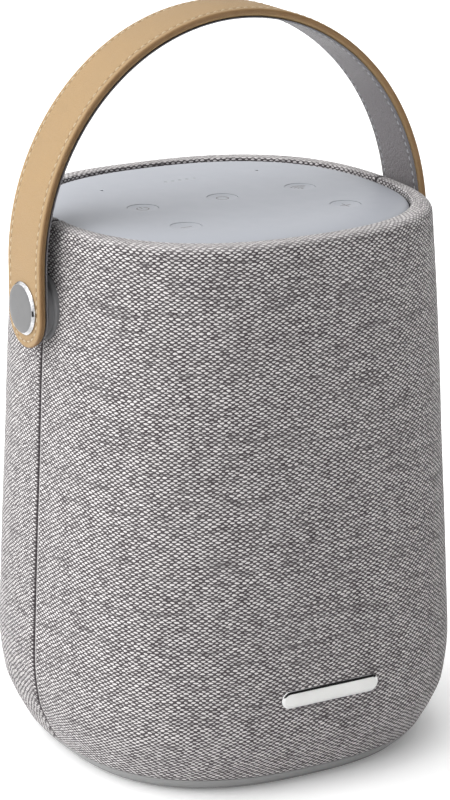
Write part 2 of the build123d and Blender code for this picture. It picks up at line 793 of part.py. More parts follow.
with BuildPart() as port_board:
    with BuildSketch(facing(56.6, port_level)):
        RectangleRounded(39.0, 13.0, 1.0)
    extrude(amount=board_thickness)
finish(port_board, "port_board")

with BuildPart() as usb_c_socket:
    with BuildSketch(facing(65.2, port_level, socket_x)):
        SlotOverall(8.94, 3.26)
    extrude(amount=8.5)
    with BuildSketch(facing(65.2, port_level, socket_x)):
        SlotOverall(8.34, 2.66)
        Rectangle(6.7, 0.7, mode=Mode.SUBTRACT)
    extrude(amount=6.2, mode=Mode.SUBTRACT)
finish(usb_c_socket, "usb_c_socket")

with BuildPart() as mute_slider:
    with BuildSketch(facing(65.9, port_level, slider_x)):
        RectangleRounded(4.4, 3.0, 0.4)
    extrude(amount=65.9 - 58.2)
    with BuildSketch(facing(58.2, port_level, slider_x)):
        RectangleRounded(6.4, 5.2, 0.6)
    extrude(amount=1.0)
    with BuildSketch(facing(66.1, port_level, slider_x)):
        with GridLocations(1.2, 0, 3, 1):
            Rectangle(0.4, 2.4)
    extrude(amount=0.4)
finish(mute_slider, "mute_slider")

# ================================================================ badge
badge_level = 33.5
badge_width = 35.2
badge_height = 5.8
badge_proud = 0.9
with BuildPart() as badge:
    add(body_blank(-badge_proud, fabric_bottom, body_height))
    with BuildSketch(facing(0, badge_level)):
        SlotOverall(badge_width, badge_height)
    extrude(amount=half_space, mode=Mode.INTERSECT)
    add(body_blank(-0.05, fabric_bottom, body_height), mode=Mode.SUBTRACT)
finish(badge, "badge")

# ================================================================ handle pivots
boss_inner_end = 56.5
boss_face = 67.1
skin_clear = body_blank(-0.05, fabric_bottom, body_height)
for name, side in (("pivot_boss_left", -1), ("pivot_boss_right", 1)):
    across = Plane(origin=(0, 0, pivot_level), x_dir=(0, 1, 0), z_dir=(side, 0, 0))
    with BuildPart() as pivot_boss:
        with BuildSketch(across.offset(60.0)):
            Circle(10.8)
        extrude(amount=5.2)
        with BuildSketch(across.offset(60.0)):
            Circle(9.4)
        extrude(amount=boss_face - 60.0)
        circles = pivot_boss.edges().filter_by(GeomType.CIRCLE)
        fillet(circles.sort_by_distance((side * 90, 0, pivot_level))[0], 0.4)
        add(skin_clear, mode=Mode.SUBTRACT)
        with BuildSketch(across.offset(boss_inner_end)):
            Circle(boss_radius)
        extrude(amount=9.0)
        with BuildSketch(across.offset(boss_inner_end)):
            Circle(8.5)
        extrude(amount=2.7)
        with BuildSketch(across.offset(boss_inner_end)):
            Circle(pin_radius + pin_clearance)
        extrude(amount=12.0, mode=Mode.SUBTRACT)
    finish(pivot_boss, name)

pin_end = 54.5
clip_start = 55.2
for name, side in (("rivet_left", -1), ("rivet_right", 1)):
    across = Plane(origin=(0, 0, pivot_level), x_dir=(0, 1, 0), z_dir=(side, 0, 0))
    with BuildPart() as rivet:
        with BuildSketch(across.offset(strap_outer + 0.02)):
            Circle(rivet_radius)
        extrude(amount=overall_half_width - strap_outer - 0.02)
        circles = rivet.edges().filter_by(GeomType.CIRCLE)
        chamfer(circles.sort_by_distance((side * 90, 0, pivot_level))[0], 0.8, 1.0)
        with BuildSketch(across.offset(pin_end)):
            Circle(pin_radius)
        extrude(amount=strap_outer + 0.5 - pin_end)
        with BuildSketch(across.offset(clip_start)):
            Circle(pin_radius + 1)
            Circle(2.3, mode=Mode.SUBTRACT)
        extrude(amount=0.9, mode=Mode.SUBTRACT)
    finish(rivet, name)

with BuildPart() as pivot_clips:
    for side in (-1, 1):
        with BuildSketch(Plane(origin=(side * (clip_start + 0.05), 0, pivot_level), x_dir=(0, 1, 0),
                               z_dir=(side, 0, 0))):
            Circle(5.2)
            Circle(2.35, mode=Mode.SUBTRACT)
            with Locations((0, -4)):
                Rectangle(3.4, 8, mode=Mode.SUBTRACT)
        extrude(amount=0.8)
finish(pivot_clips, "pivot_clips")

# ================================================================ handle strap
strap_bottom = pivot_level - strap_end_drop
strap_end_centre = strap_bottom + strap_width / 2
strap_height = 260.0


def strap_layer(outer, inner, width):
    """One layer of the strap: straight legs joined by a half-elliptic arch, with rounded ends."""
    middle = (strap_bottom + arch_centre) / 2
    length = arch_centre - strap_bottom
    with BuildPart() as layer:
        with BuildSketch(Plane.XZ.offset(-width / 2)):
            with Locations((0, arch_centre)):
                Ellipse(outer, arch_rise - strap_outer + outer)
            with Locations((0, middle)):
                Rectangle(2 * outer, length)
            with Locations((0, arch_centre)):
                Ellipse(inner, arch_rise - strap_outer + inner, mode=Mode.SUBTRACT)
            with Locations((0, middle - 1)):
                Rectangle(2 * inner, length + 2, mode=Mode.SUBTRACT)
            with Locations((0, strap_bottom - 50)):
                Rectangle(200, 100, mode=Mode.SUBTRACT)
        extrude(amount=width)
        drop = (strap_width - width) / 2
        with BuildSketch(Plane.YZ.offset(-half_space / 2)):
            with Locations((0, strap_end_centre)):
                Circle(strap_width / 2 - drop)
            with Locations((0, (strap_end_centre + strap_height) / 2)):
                Rectangle(width, strap_height - strap_end_centre)
        extrude(amount=half_space, mode=Mode.INTERSECT)
        with BuildSketch(Plane.YZ.offset(-half_space / 2)):
            with Locations((0, pivot_level)):
                Circle(pin_radius + 0.1)
        extrude(amount=half_space, mode=Mode.SUBTRACT)
    return layer.part


leather_inner = 68.6
core_outer = 69.4
core_width = 14.0
strap_inner = strap_outer - strap_thickness
with BuildPart() as strap_leather:
    add(strap_layer(strap_outer, leather_inner, strap_width))
    add(strap_layer(core_outer + 0.05, leather_inner - 0.05, core_width + 0.2), mode=Mode.SUBTRACT)
finish(strap_leather, "strap_leather")

with BuildPart() as strap_core:
    add(strap_layer(core_outer, leather_inner + 0.05, core_width))
finish(strap_core, "strap_core")

with BuildPart() as strap_lining:
    add(strap_layer(leather_inner - 0.05, strap_inner, strap_width))
finish(strap_lining, "strap_lining")
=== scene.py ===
"""A cloth-covered smart speaker with a tan carry strap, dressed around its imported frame."""
import logging
import math
from dataclasses import dataclass, field
from enum import Enum
from typing import Any, Callable, Iterable, Sequence

import bmesh
import bpy
import numpy as np
from mathutils import Matrix, Vector


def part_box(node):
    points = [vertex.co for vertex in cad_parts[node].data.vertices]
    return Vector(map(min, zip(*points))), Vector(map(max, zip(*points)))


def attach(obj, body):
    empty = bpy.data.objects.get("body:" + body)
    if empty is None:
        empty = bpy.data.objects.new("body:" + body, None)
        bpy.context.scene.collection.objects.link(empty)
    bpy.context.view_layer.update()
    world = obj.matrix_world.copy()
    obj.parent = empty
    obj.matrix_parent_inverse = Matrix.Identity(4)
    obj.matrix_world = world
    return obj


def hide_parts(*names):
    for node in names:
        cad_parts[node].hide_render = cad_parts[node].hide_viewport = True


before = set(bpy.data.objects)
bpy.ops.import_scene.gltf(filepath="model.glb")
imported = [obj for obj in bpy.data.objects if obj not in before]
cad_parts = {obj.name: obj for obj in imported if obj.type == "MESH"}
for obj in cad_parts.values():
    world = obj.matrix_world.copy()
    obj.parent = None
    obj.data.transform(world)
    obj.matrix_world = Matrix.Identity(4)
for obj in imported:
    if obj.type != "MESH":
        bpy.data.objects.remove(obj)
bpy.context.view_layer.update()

MM = 0.001               # metres in a millimetre
WELD = 2e-6              # metres within which doubled points are one
LOG = logging.getLogger("speaker")
Colour = tuple[float, float, float]
Surface = tuple[np.ndarray, np.ndarray]    # points (n, 3) in millimetres, and quads (m, 4)


def shade_of(colour: Colour, share: float) -> Colour:
    """The colour with each part multiplied by a share, and no part above 1."""
    return tuple(min(1.0, share * part) for part in colour)


class Body(Enum):
    """The moving bodies that pieces ride on."""

    HOUSING = "housing"
    HANDLE = "handle"
    POWER = "power_key"
    ASSISTANT = "assistant_key"
    WIRELESS = "wireless_key"
    VOLUME_DOWN = "volume_down_key"
    VOLUME_UP = "volume_up_key"


class Side(Enum):
    """The two sides of the speaker, as the sign of X."""

    LEFT = -1
    RIGHT = 1


class Half(Enum):
    """The two cloth panels, as the sign of Y."""

    FRONT = -1
    REAR = 1


# ---------------------------------------------------------------- mesh work


def grid_quads(rows: int, cols: int, wrap_rows: bool = False,
               wrap_cols: bool = False) -> np.ndarray:
    """Quads of a grid of points, numbered row by row.

    Args:
        rows: Number of rows of points.
        cols: Number of points in a row.
        wrap_rows: Join the last row to the first.
        wrap_cols: Join the last point of each row to its first.

    Returns:
        Array (n, 4) of point numbers.
    """
    i, j = np.meshgrid(np.arange(rows if wrap_rows else rows - 1),
                       np.arange(cols if wrap_cols else cols - 1), indexing="ij")
    below, beside = (i + 1) % rows, (j + 1) % cols
    corners = [i * cols + j, i * cols + beside, below * cols + beside, below * cols + j]
    return np.stack(corners, axis=-1).reshape(-1, 4)


def make_piece(name: str, points: np.ndarray, quads: np.ndarray,
               attributes: dict[str, np.ndarray] | None = None,
               sharp_angle: float = 40.0) -> bpy.types.Object:
    """Makes one closed, welded mesh object with outward faces.

    Args:
        name: Name of the piece.
        points: Array (n, 3) in millimetres.
        quads: Array (m, 4) of point numbers; doubled points are welded.
        attributes: Values per point, floats (n,) or vectors (n, 3), by attribute name.
        sharp_angle: Edges that turn more than this many degrees stay sharp.

    Returns:
        The object, at the origin.
    """
    mesh = bpy.data.meshes.new(name)
    mesh.vertices.add(len(points))
    mesh.vertices.foreach_set("co", (points * MM).astype(np.float32).ravel())
    mesh.loops.add(quads.size)
    mesh.loops.foreach_set("vertex_index", quads.astype(np.int32).ravel())
    mesh.polygons.add(len(quads))
    mesh.polygons.foreach_set("loop_start", np.arange(0, quads.size, 4, dtype=np.int32))
    mesh.update(calc_edges=True)
    for key, values in (attributes or {}).items():
        write_attribute(mesh, key, values)
    work = bmesh.new()
    work.from_mesh(mesh)
    bmesh.ops.remove_doubles(work, verts=work.verts, dist=WELD)
    bmesh.ops.dissolve_degenerate(work, edges=work.edges, dist=1e-7)
    bmesh.ops.recalc_face_normals(work, faces=work.faces)
    work.to_mesh(mesh)
    work.free()
    mesh.shade_smooth()
    mesh.set_sharp_from_angle(angle=math.radians(sharp_angle))
    piece = bpy.data.objects.new(name, mesh)
    bpy.context.scene.collection.objects.link(piece)
    return piece


def write_attribute(mesh: bpy.types.Mesh, key: str, values: np.ndarray) -> None:
    """Stores one value or vector per point on a mesh.

    Args:
        mesh: The mesh.
        key: Name of the attribute.
        values: Array (n,) or (n, 3).
    """
    vector = values.ndim == 2
    kind = "FLOAT_VECTOR" if vector else "FLOAT"
    layer = mesh.attributes.get(key) or mesh.attributes.new(key, kind, "POINT")
    layer.data.foreach_set("vector" if vector else "value", values.astype(np.float32).ravel())


def join_grids(grids: Iterable[Surface]) -> Surface:
    """Puts several sets of points and quads into one.

    Args:
        grids: Pairs of points (n, 3) and quads (m, 4).

    Returns:
        One pair, its quads renumbered.
    """
    points, quads, start = [], [], 0
    for some_points, some_quads in grids:
        points.append(some_points)
        quads.append(some_quads + start)
        start += len(some_points)
    return np.concatenate(points), np.concatenate(quads)


def rings_solid(rings: np.ndarray, wrap_rows: bool = False) -> Surface:
    """Closed solid from a stack of closed rings; collapsed end rings make its poles.

    Args:
        rings: Array (rows, cols, 3).
        wrap_rows: Join the last ring to the first, for a solid with a hole through it.

    Returns:
        Points and quads.
    """
    rows, cols = rings.shape[:2]
    return rings.reshape(-1, 3), grid_quads(rows, cols, wrap_rows, True)


def sheet_solid(outer: np.ndarray, inner: np.ndarray) -> Surface:
    """Closed solid between two grids of the same size: both faces and the four edges.

    Args:
        outer: Array (rows, cols, 3) of the outer face.
        inner: Array (rows, cols, 3) of the inner face.

    Returns:
        Points, the outer rows before the inner rows in reverse, and quads.
    """
    rows, cols = outer.shape[:2]
    stack = np.concatenate([outer, inner[::-1]])
    quads = [grid_quads(2 * rows, cols, wrap_rows=True)]
    i = np.arange(rows - 1)
    for col in (0, cols - 1):
        edge = np.stack([i, i + 1, 2 * rows - 2 - i, 2 * rows - 1 - i], axis=-1)
        quads.append(edge * cols + col)
    return stack.reshape(-1, 3), np.concatenate(quads)


def circle(steps: int) -> np.ndarray:
    """Angles of one turn, evenly spaced."""
    return np.linspace(0.0, 2.0 * np.pi, steps, endpoint=False)


def turned(profile: Sequence[tuple[float, float]], centre: Sequence[float], axis: str, steps: int,
           wrap_rows: bool = False) -> Surface:
    """Turned solid: each (radius, height) of the profile makes a circle about the axis.

    Args:
        profile: Radius and height pairs in millimetres, along the outline.
        centre: Point on the axis, where the height is zero.
        axis: "z", "x" or "-x", the way that the height grows.
        steps: Points in each circle.
        wrap_rows: Close the profile on itself, for a piece with a hole through it.

    Returns:
        Points and quads.
    """
    outline = np.asarray(profile, float)
    turn = circle(steps)
    radius, height = outline[:, :1], np.repeat(outline[:, 1:], steps, axis=1)
    across, along = radius * np.cos(turn), radius * np.sin(turn)
    parts = {"z": (across, along, height), "x": (height, across, along), "-x": (-height, across, along)}
    rings = np.stack(parts[axis], axis=-1) + np.asarray(centre, float)
    return rings_solid(rings, wrap_rows)


def stadium(half_length: float, radius: np.ndarray, steps: int) -> np.ndarray:
    """Stadium outlines: a straight of half_length each side of the middle, with round ends.

    Args:
        half_length: Half the straight run.
        radius: End radius of each outline, an array (rows,).
        steps: Points round each outline.

    Returns:
        Array (rows, steps, 2).
    """
    turn = circle(steps) + np.pi / steps
    end = np.where(np.cos(turn) > 0, half_length, -half_length)
    return np.stack([end + radius[:, None] * np.cos(turn), radius[:, None] * np.sin(turn)], axis=-1)


def upright_prism(outline: np.ndarray, bottom: float, top: float) -> Surface:
    """Closed prism on an outline in the floor plane, between two levels.

    Args:
        outline: Array (n, 2).
        bottom: Level of its underside.
        top: Level of its upper face.

    Returns:
        Points and quads.
    """
    middle = np.broadcast_to(outline.mean(axis=0), outline.shape)
    rows = [(middle, bottom), (outline, bottom), (outline, top), (middle, top)]
    rings = np.stack([np.column_stack([flat, np.full(len(flat), level)]) for flat, level in rows])
    return rings_solid(rings)


def carve(piece: bpy.types.Object, cutter: Surface) -> None:
    """Cuts a closed shape out of a piece and keeps the result as the piece's mesh.

    Edges of the cut that turn more than 40 degrees stay sharp, the same as make_piece's own.

    Args:
        piece: The piece to cut.
        cutter: Points and quads of the shape that is taken away.
    """
    tool = make_piece(piece.name + "_cutter", *cutter)
    cut = piece.modifiers.new("cut", "BOOLEAN")
    cut.operation, cut.solver, cut.object = "DIFFERENCE", "EXACT", tool
    bpy.context.view_layer.update()
    scene_state = bpy.context.evaluated_depsgraph_get()
    shaped = bpy.data.meshes.new_from_object(piece.evaluated_get(scene_state))
    piece.modifiers.clear()
    piece.data = shaped
    shaped.set_sharp_from_angle(angle=math.radians(40.0))
    tool_mesh = tool.data
    bpy.data.objects.remove(tool)
    bpy.data.meshes.remove(tool_mesh)


def place(piece: bpy.types.Object, body: Body, slot: str, nodes: Sequence[str],
          finish: "Finish") -> None:
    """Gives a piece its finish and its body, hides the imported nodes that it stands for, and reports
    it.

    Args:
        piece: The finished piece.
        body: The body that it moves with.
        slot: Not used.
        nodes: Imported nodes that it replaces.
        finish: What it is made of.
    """
    piece.data.materials.clear()
    piece.data.materials.append(finish.material())
    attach(piece, body.value)
    if nodes:
        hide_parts(*nodes)
    LOG.info("%s: %d faces, rides on %s", piece.name, len(piece.data.polygons), body.value)


# ---------------------------------------------------------------- shader wiring

Value = Any  # a number, a colour, a vector or a socket that gives one


class Wires:
    """A node tree being wired: it makes nodes, sets their numbers and links their sockets."""

    def __init__(self, tree: bpy.types.NodeTree) -> None:
        """Keeps the tree."""
        self.tree = tree

    def node(self, kind: str, inputs: dict[Any, Value] | None = None, **settings: Any) -> bpy.types.Node:
        """Adds a node.

        Args:
            kind: Type of the node, without its ShaderNode prefix.
            inputs: Values or sockets for its inputs, by name or number.
            **settings: Properties of the node.

        Returns:
            The node.
        """
        made = self.tree.nodes.new("ShaderNode" + kind)
        for key, value in settings.items():
            setattr(made, key, value)
        for key, value in (inputs or {}).items():
            self.feed(made.inputs[key], value)
        return made

    def feed(self, socket: bpy.types.NodeSocket, value: Value) -> None:
        """Links a socket to another, or sets its number.

        Args:
            socket: The input that is fed.
            value: A socket, a number, a vector or a colour.
        """
        if isinstance(value, bpy.types.NodeSocket):
            self.tree.links.new(value, socket)
        elif isinstance(value, tuple) and socket.type == "RGBA":
            socket.default_value = (*value, 1.0)[:4]
        else:
            socket.default_value = value

    def math(self, operation: str, a: Value, b: Value = 0.0, c: Value = 0.0,
             clamp: bool = False) -> Value:
        """One arithmetic step on up to three values; returns the socket of its result."""
        made = self.node("Math", {0: a, 1: b, 2: c}, operation=operation, use_clamp=clamp)
        return made.outputs[0]

    def remap(self, value: Value, low: float, high: float, to_low: float = 0.0,
              to_high: float = 1.0) -> Value:
        """Value moved from one range to another and clamped, with soft ends; returns its socket."""
        made = self.node("MapRange", {0: value, 1: low, 2: high, 3: to_low, 4: to_high},
                         interpolation_type="SMOOTHSTEP")
        return made.outputs[0]

    def mix(self, share: Value, a: Value, b: Value) -> Value:
        """Colour a turned into colour b by share; returns its socket."""
        return self.node("Mix", {0: share, 6: a, 7: b}, data_type="RGBA").outputs[2]

    def split(self, vector: Value) -> Sequence[bpy.types.NodeSocket]:
        """The vector's three parts, as sockets."""
        return self.node("SeparateXYZ", {0: vector}).outputs

    def upward(self) -> Value:
        """How far the surface looks up, from -1 to 1, as a socket."""
        return self.split(self.node("NewGeometry").outputs["Normal"])[2]

    def noise(self, vector: Value, scale: Value, detail: float = 2.0, roughness: float = 0.5,
              output: int = 0) -> Value:
        """Soft noise from 0 to 1, or for output 1 three of them as a colour; returns its socket."""
        made = self.node("TexNoise", {"Vector": vector, "Scale": scale, "Detail": detail,
                                      "Roughness": roughness})
        return made.outputs[output]

    def place_on_object(self) -> Value:
        """The point's place in metres, as a socket."""
        return self.node("TexCoord").outputs["Object"]

    def attribute(self, name: str, output: str = "Fac") -> Value:
        """A value stored on the mesh, as a socket."""
        return self.node("Attribute", attribute_name=name).outputs[output]

    def effect(self, make: Callable[[], bpy.types.NodeTree], **inputs: Value) -> Any:
        """Places a shared effect, which is made the first time it is asked for.

        Args:
            make: Makes the effect's node group, which has the same name as it.
            **inputs: Values or sockets for the group's inputs.

        Returns:
            The group's outputs, by name.
        """
        made = self.node("Group", node_tree=bpy.data.node_groups.get(make.__name__) or make())
        for key, value in inputs.items():
            self.feed(made.inputs[key], value)
        return made.outputs

    def bump(self, height: Value, distance: float) -> Value:
        """Normal bent by a height; distance is in millimetres. Returns its socket."""
        inputs = {"Height": height, "Distance": distance * MM, "Strength": 1.0}
        return self.node("Bump", inputs).outputs[0]


class Effects:
    """The surface effects that several materials share, each a node group built once."""

    # Plain weave, in millimetres: slow and quick wander of the yarns, across and along.
    yarn_wander = (("Across", 1.3, 0.9), ("Along", 1.0, 0.5))
    # How far a weft float reaches over its repeat, across and along, as a share of half of it.
    float_reach = (0.7, 0.47)
    # How much of a float the thinnest spots of the weft lose.
    thin_spot = 0.4

    @staticmethod
    def _start(name: str, inputs: dict[str, float | None],
               outputs: Sequence[str]) -> tuple[Wires, Any, Any]:
        """Starts a group.

        Args:
            name: Name of the group.
            inputs: Number at the start by input name, or None for a vector.
            outputs: Names of its float outputs.

        Returns:
            The group's wires, its input values by name, and the sockets of its outputs by name.
        """
        tree = bpy.data.node_groups.new(name, "ShaderNodeTree")
        for key, value in inputs.items():
            kind = "NodeSocketVector" if value is None else "NodeSocketFloat"
            made = tree.interface.new_socket(key, in_out="INPUT", socket_type=kind)
            if value is not None:
                made.default_value = value
        for key in outputs:
            tree.interface.new_socket(key, in_out="OUTPUT", socket_type="NodeSocketFloat")
        start = tree.nodes.new("NodeGroupInput")
        end = tree.nodes.new("NodeGroupOutput")
        return Wires(tree), start.outputs, end.inputs

    @classmethod
    def _floats(cls, w: Wires, turns: Sequence[Value], offset: float) -> tuple[Value, Value]:
        """One lattice of weft floats: 1 - (u / width)^2 - (v / height)^2 over each repeat.

        Args:
            w: The group's wires.
            turns: Repeats counted across and along.
            offset: Part of a repeat that the lattice is moved by.

        Returns:
            The ellipse's value, and a number from 0 to 1 that is each float's own.
        """
        moved = [w.math("ADD", turn, offset) for turn in turns]
        squares = []
        for turn, reach in zip(moved, cls.float_reach):
            place_in_repeat = w.math("MULTIPLY_ADD", w.math("FRACT", turn), 2.0, -1.0)
            share = w.math("ABSOLUTE", w.math("DIVIDE", place_in_repeat, reach))
            squares.append(w.math("POWER", share, 2.0))
        across, along = (w.math("FLOOR", turn) for turn in moved)
        cell = w.node("CombineXYZ", {0: across, 1: along, 2: 17.0 * offset})
        number = w.node("TexWhiteNoise", {"Vector": cell.outputs[0]}).outputs["Value"]
        return w.math("SUBTRACT", 1.0, w.math("ADD", *squares)), number

    @classmethod
    def plain_weave(cls) -> bpy.types.NodeTree:
        """Plain weave of light weft floats over dark warp.

        Floats are ellipses on two lattices, the second half a repeat along and across from the
        first, on yarns that wander a little.

        Returns:
            Group with Thread (millimetres across and along), Across and Along (the repeat),
            and Slub (unevenness); it gives Height, Float, Dash (a number for each float) and
            the tones Weft and Warp, which change from yarn to yarn and slowly along each yarn.
        """
        w, given, end = cls._start(
            "plain_weave", {"Thread": None, "Across": 2.23, "Along": 1.43, "Slub": 1.0},
            ("Height", "Float", "Dash", "Weft", "Warp"))
        thread = w.split(given["Thread"])
        sway = w.split(w.noise(given["Thread"], 0.16, 1.0, output=1))
        wobble = w.split(w.noise(given["Thread"], 0.75, 1.0, output=1))
        turns = []
        for i, (repeat, slow, quick) in enumerate(cls.yarn_wander):
            shift = w.math("MULTIPLY_ADD", sway[i], slow, thread[i])
            quick_shift = w.math("MULTIPLY", w.math("MULTIPLY", wobble[i], quick), given["Slub"])
            turns.append(w.math("DIVIDE", w.math("ADD", shift, quick_shift), given[repeat]))
        (first, first_number), (second, second_number) = (
            cls._floats(w, turns, offset) for offset in (0.0, 0.5))
        on_second = w.math("GREATER_THAN", second, first)
        dash = w.math("ADD", w.math("MULTIPLY", second_number, on_second),
                      w.math("MULTIPLY", first_number, w.math("SUBTRACT", 1.0, on_second)))
        missing = w.math("POWER", w.math("SUBTRACT", 1.0, dash), 3.0)
        top = w.math("SUBTRACT", w.math("MAXIMUM", first, second),
                     w.math("MULTIPLY", missing, cls.thin_spot))
        column, row = (w.math("FLOOR", w.math("MULTIPLY_ADD", turn, 2.0, 0.5)) for turn in turns)
        weft = w.node("CombineXYZ", {0: w.math("MULTIPLY", thread[0], 0.05),
                                     1: w.math("MULTIPLY", row, 5.3)}).outputs[0]
        warp = w.node("CombineXYZ", {0: w.math("MULTIPLY", column, 5.3), 2: 40.0,
                                     1: w.math("MULTIPLY", thread[1], 0.03)}).outputs[0]
        w.feed(end["Height"], w.math("POWER", w.math("MAXIMUM", top, 0.0), 0.5))
        w.feed(end["Float"], w.remap(top, -0.12, 0.5))
        w.feed(end["Dash"], dash)
        w.feed(end["Weft"], w.noise(weft, 1.0, 3.0, 0.65))
        w.feed(end["Warp"], w.noise(warp, 1.0, 2.0, 0.6))
        return w.tree

    @classmethod
    def fine_grain(cls) -> bpy.types.NodeTree:
        """Fine moulded or leather grain: cells with sunk edges over a soft mottling.

        Returns:
            Group with Place (metres) and Grains (per metre); it gives Height and Mottle.
        """
        w, given, end = cls._start("fine_grain", {"Place": None, "Grains": 2000.0},
                                   ("Height", "Mottle"))
        at, grains = given["Place"], given["Grains"]
        cells = w.node("TexVoronoi", {"Vector": at, "Scale": grains}, feature="DISTANCE_TO_EDGE")
        sunk = w.math("MULTIPLY", w.remap(cells.outputs["Distance"], 0.0, 0.22), 0.4)
        w.feed(end["Height"], w.math("MULTIPLY_ADD", w.noise(at, grains), 0.6, sunk))
        w.feed(end["Mottle"], w.noise(at, w.math("MULTIPLY", grains, 0.06), 4.0, 0.6))
        return w.tree

    @classmethod
    def brushed_lines(cls) -> bpy.types.NodeTree:
        """Long fine scratches along X of the given place.

        Returns:
            Group with Place (metres) and Lines (per metre); it gives Height and Gloss.
        """
        w, given, end = cls._start("brushed_lines", {"Place": None, "Lines": 9000.0},
                                   ("Height", "Gloss"))
        long = w.node("Mapping", {"Vector": given["Place"], "Scale": (0.03, 1.0, 1.0)}).outputs[0]
        w.feed(end["Height"], w.noise(long, given["Lines"], 3.0, 0.7))
        w.feed(end["Gloss"], w.noise(given["Place"], 160.0, 3.0, 0.6))
        return w.tree

    @classmethod
    def handled_edge(cls) -> bpy.types.NodeTree:
        """Breaks a clean edge mask into the uneven rub of handling.

        Returns:
            Group with Edge (0 to 1), Place (metres) and Patches (per metre); it gives Worn.
        """
        w, given, end = cls._start("handled_edge", {"Edge": 0.0, "Place": None, "Patches": 300.0},
                                   ("Worn",))
        patches = w.noise(given["Place"], given["Patches"], 4.0, 0.65)
        kept = w.remap(patches, 0.35, 0.7, 0.45, 1.0)
        w.feed(end["Worn"], w.math("MULTIPLY", given["Edge"], kept))
        return w.tree

    @classmethod
    def settled_dust(cls) -> bpy.types.NodeTree:
        """Faint dust on faces that look up.

        Returns:
            Group with Place (metres) and Amount; it gives Dust.
        """
        w, given, end = cls._start("settled_dust", {"Place": None, "Amount": 0.05}, ("Dust",))
        patches = w.remap(w.noise(given["Place"], 420.0, 5.0, 0.7), 0.4, 0.75)
        lying = w.math("MULTIPLY", w.remap(w.upward(), 0.4, 1.0), patches)
        w.feed(end["Dust"], w.math("MULTIPLY", lying, given["Amount"]))
        return w.tree


@dataclass(frozen=True)
class Finish:
    """What a surface is made of; each kind wires its own material."""

    name: str

    def material(self) -> bpy.types.Material:
        """The finish as a material, made the first time it is asked for."""
        found = bpy.data.materials.get(self.name)
        if found:
            return found
        made = bpy.data.materials.new(self.name)
        made.use_nodes = True
        made.node_tree.nodes.clear()
        wires = Wires(made.node_tree)
        shader = wires.node("BsdfPrincipled")
        end = wires.node("OutputMaterial")
        wires.feed(end.inputs["Surface"], shader.outputs[0])
        for key, value in self.wire(wires).items():
            wires.feed(shader.inputs[key], value)
        return made

    def wire(self, w: Wires) -> dict[str, Value]:
        """Builds the finish's nodes.

        Args:
            w: The material's wires.

        Returns:
            Values and sockets for the Principled shader, by input name.
        """
        raise NotImplementedError


@dataclass(frozen=True)
class Cloth(Finish):
    """Heathered woven cloth: light floats over dark yarn, with slubs and thin streaks.

    The shares say how much a yarn's tone owes to its float, weft, warp and fibres. The seam
    attribute is the distance to the seam in millimetres, below zero on the rear panel.
    """

    light: Colour = (0.67, 0.644, 0.642)
    dark: Colour = (0.048, 0.039, 0.043)
    across: float = 2.23
    along: float = 1.43
    slub: float = 1.0
    relief: float = 0.22
    fibres: float = 5200.0
    float_share: float = 0.26
    weft_share: float = 0.72
    warp_share: float = 0.1
    fibre_share: float = 0.16
    # Share of painted light on cloth that faces up.
    packed: float = 0.33
    # Share of the painted highlight on the plain fold beside the seam.
    fold: float = 0.7
    seam_shadow: float = 0.92

    def _tone(self, w: Wires, weave: Any, fibre: Value) -> Value:
        """Colour of the open weave: yarn over gaps, with painted light where the cloth looks up: there
        the dark gaps and the yarn turn towards the light colour.

        Args:
            w: The material's wires.
            weave: Outputs of the weave.
            fibre: Fine unevenness from 0 to 1.

        Returns:
            The colour's socket.
        """
        weft = w.remap(weave["Weft"], 0.3, 0.52)
        warp = w.remap(weave["Warp"], 0.3, 0.6)
        shade = w.math("MULTIPLY_ADD", weave["Dash"], self.float_share,
                       w.math("MULTIPLY", weft, self.weft_share))
        shade = w.math("MULTIPLY_ADD", warp, self.warp_share, w.math("SUBTRACT", shade, 0.06))
        shade = w.math("MULTIPLY_ADD", fibre, self.fibre_share, w.math("SUBTRACT", shade, 0.08),
                       clamp=True)
        yarn = w.mix(shade, shade_of(self.light, 0.36), self.light)
        gap = w.mix(w.math("MULTIPLY", warp, 0.22), self.dark, shade_of(self.light, 0.25))
        # Painted light: the more the cloth faces up, the more its gaps and yarn take the light colour,
        # standing in for the brighter look of the rim.
        packed = w.remap(w.upward(), 0.3, 1.0, 0.0, self.packed)
        cover = w.math("MAXIMUM", weave["Float"], packed)
        return w.mix(cover, gap, w.mix(packed, yarn, self.light))

    def wire(self, w: Wires) -> dict[str, Value]:
        """Weave colour, fuzz and relief from the thread coordinates on the mesh, with a painted
        highlight on the plain fold beside the seam and painted shadow in the seam."""
        weave = w.effect(Effects.plain_weave, Thread=w.attribute("thread", "Vector"),
                         Across=self.across, Along=self.along, Slub=self.slub)
        fibre = w.effect(Effects.fine_grain, Place=w.place_on_object(), Grains=self.fibres)["Height"]
        seam = w.attribute("seam")
        # Plain fold from 0.8 to 2.2 mm off the seam: the weave gives way to a plain colour there,
        # painted lighter as a highlight on the rolled cloth.
        fold = w.math("MULTIPLY", w.remap(seam, 0.8, 1.0), w.remap(seam, 2.2, 1.8))
        plain = w.mix(fibre, shade_of(self.light, 0.35), shade_of(self.light, 0.7))
        colour = w.mix(w.math("MULTIPLY", fold, self.fold), self._tone(w, weave, fibre), plain)
        shadow = w.remap(w.math("ABSOLUTE", seam), 0.95, 0.65, 0.0, self.seam_shadow)
        height = w.math("MULTIPLY_ADD", fibre, 0.12, weave["Height"])
        return {"Base Color": w.mix(shadow, colour, self.dark), "Roughness": 0.88,
                "Sheen Weight": 0.12, "Sheen Roughness": 0.5, "Specular IOR Level": 0.25,
                "Normal": w.bump(height, self.relief)}


DUST: Colour = (0.5, 0.49, 0.47)


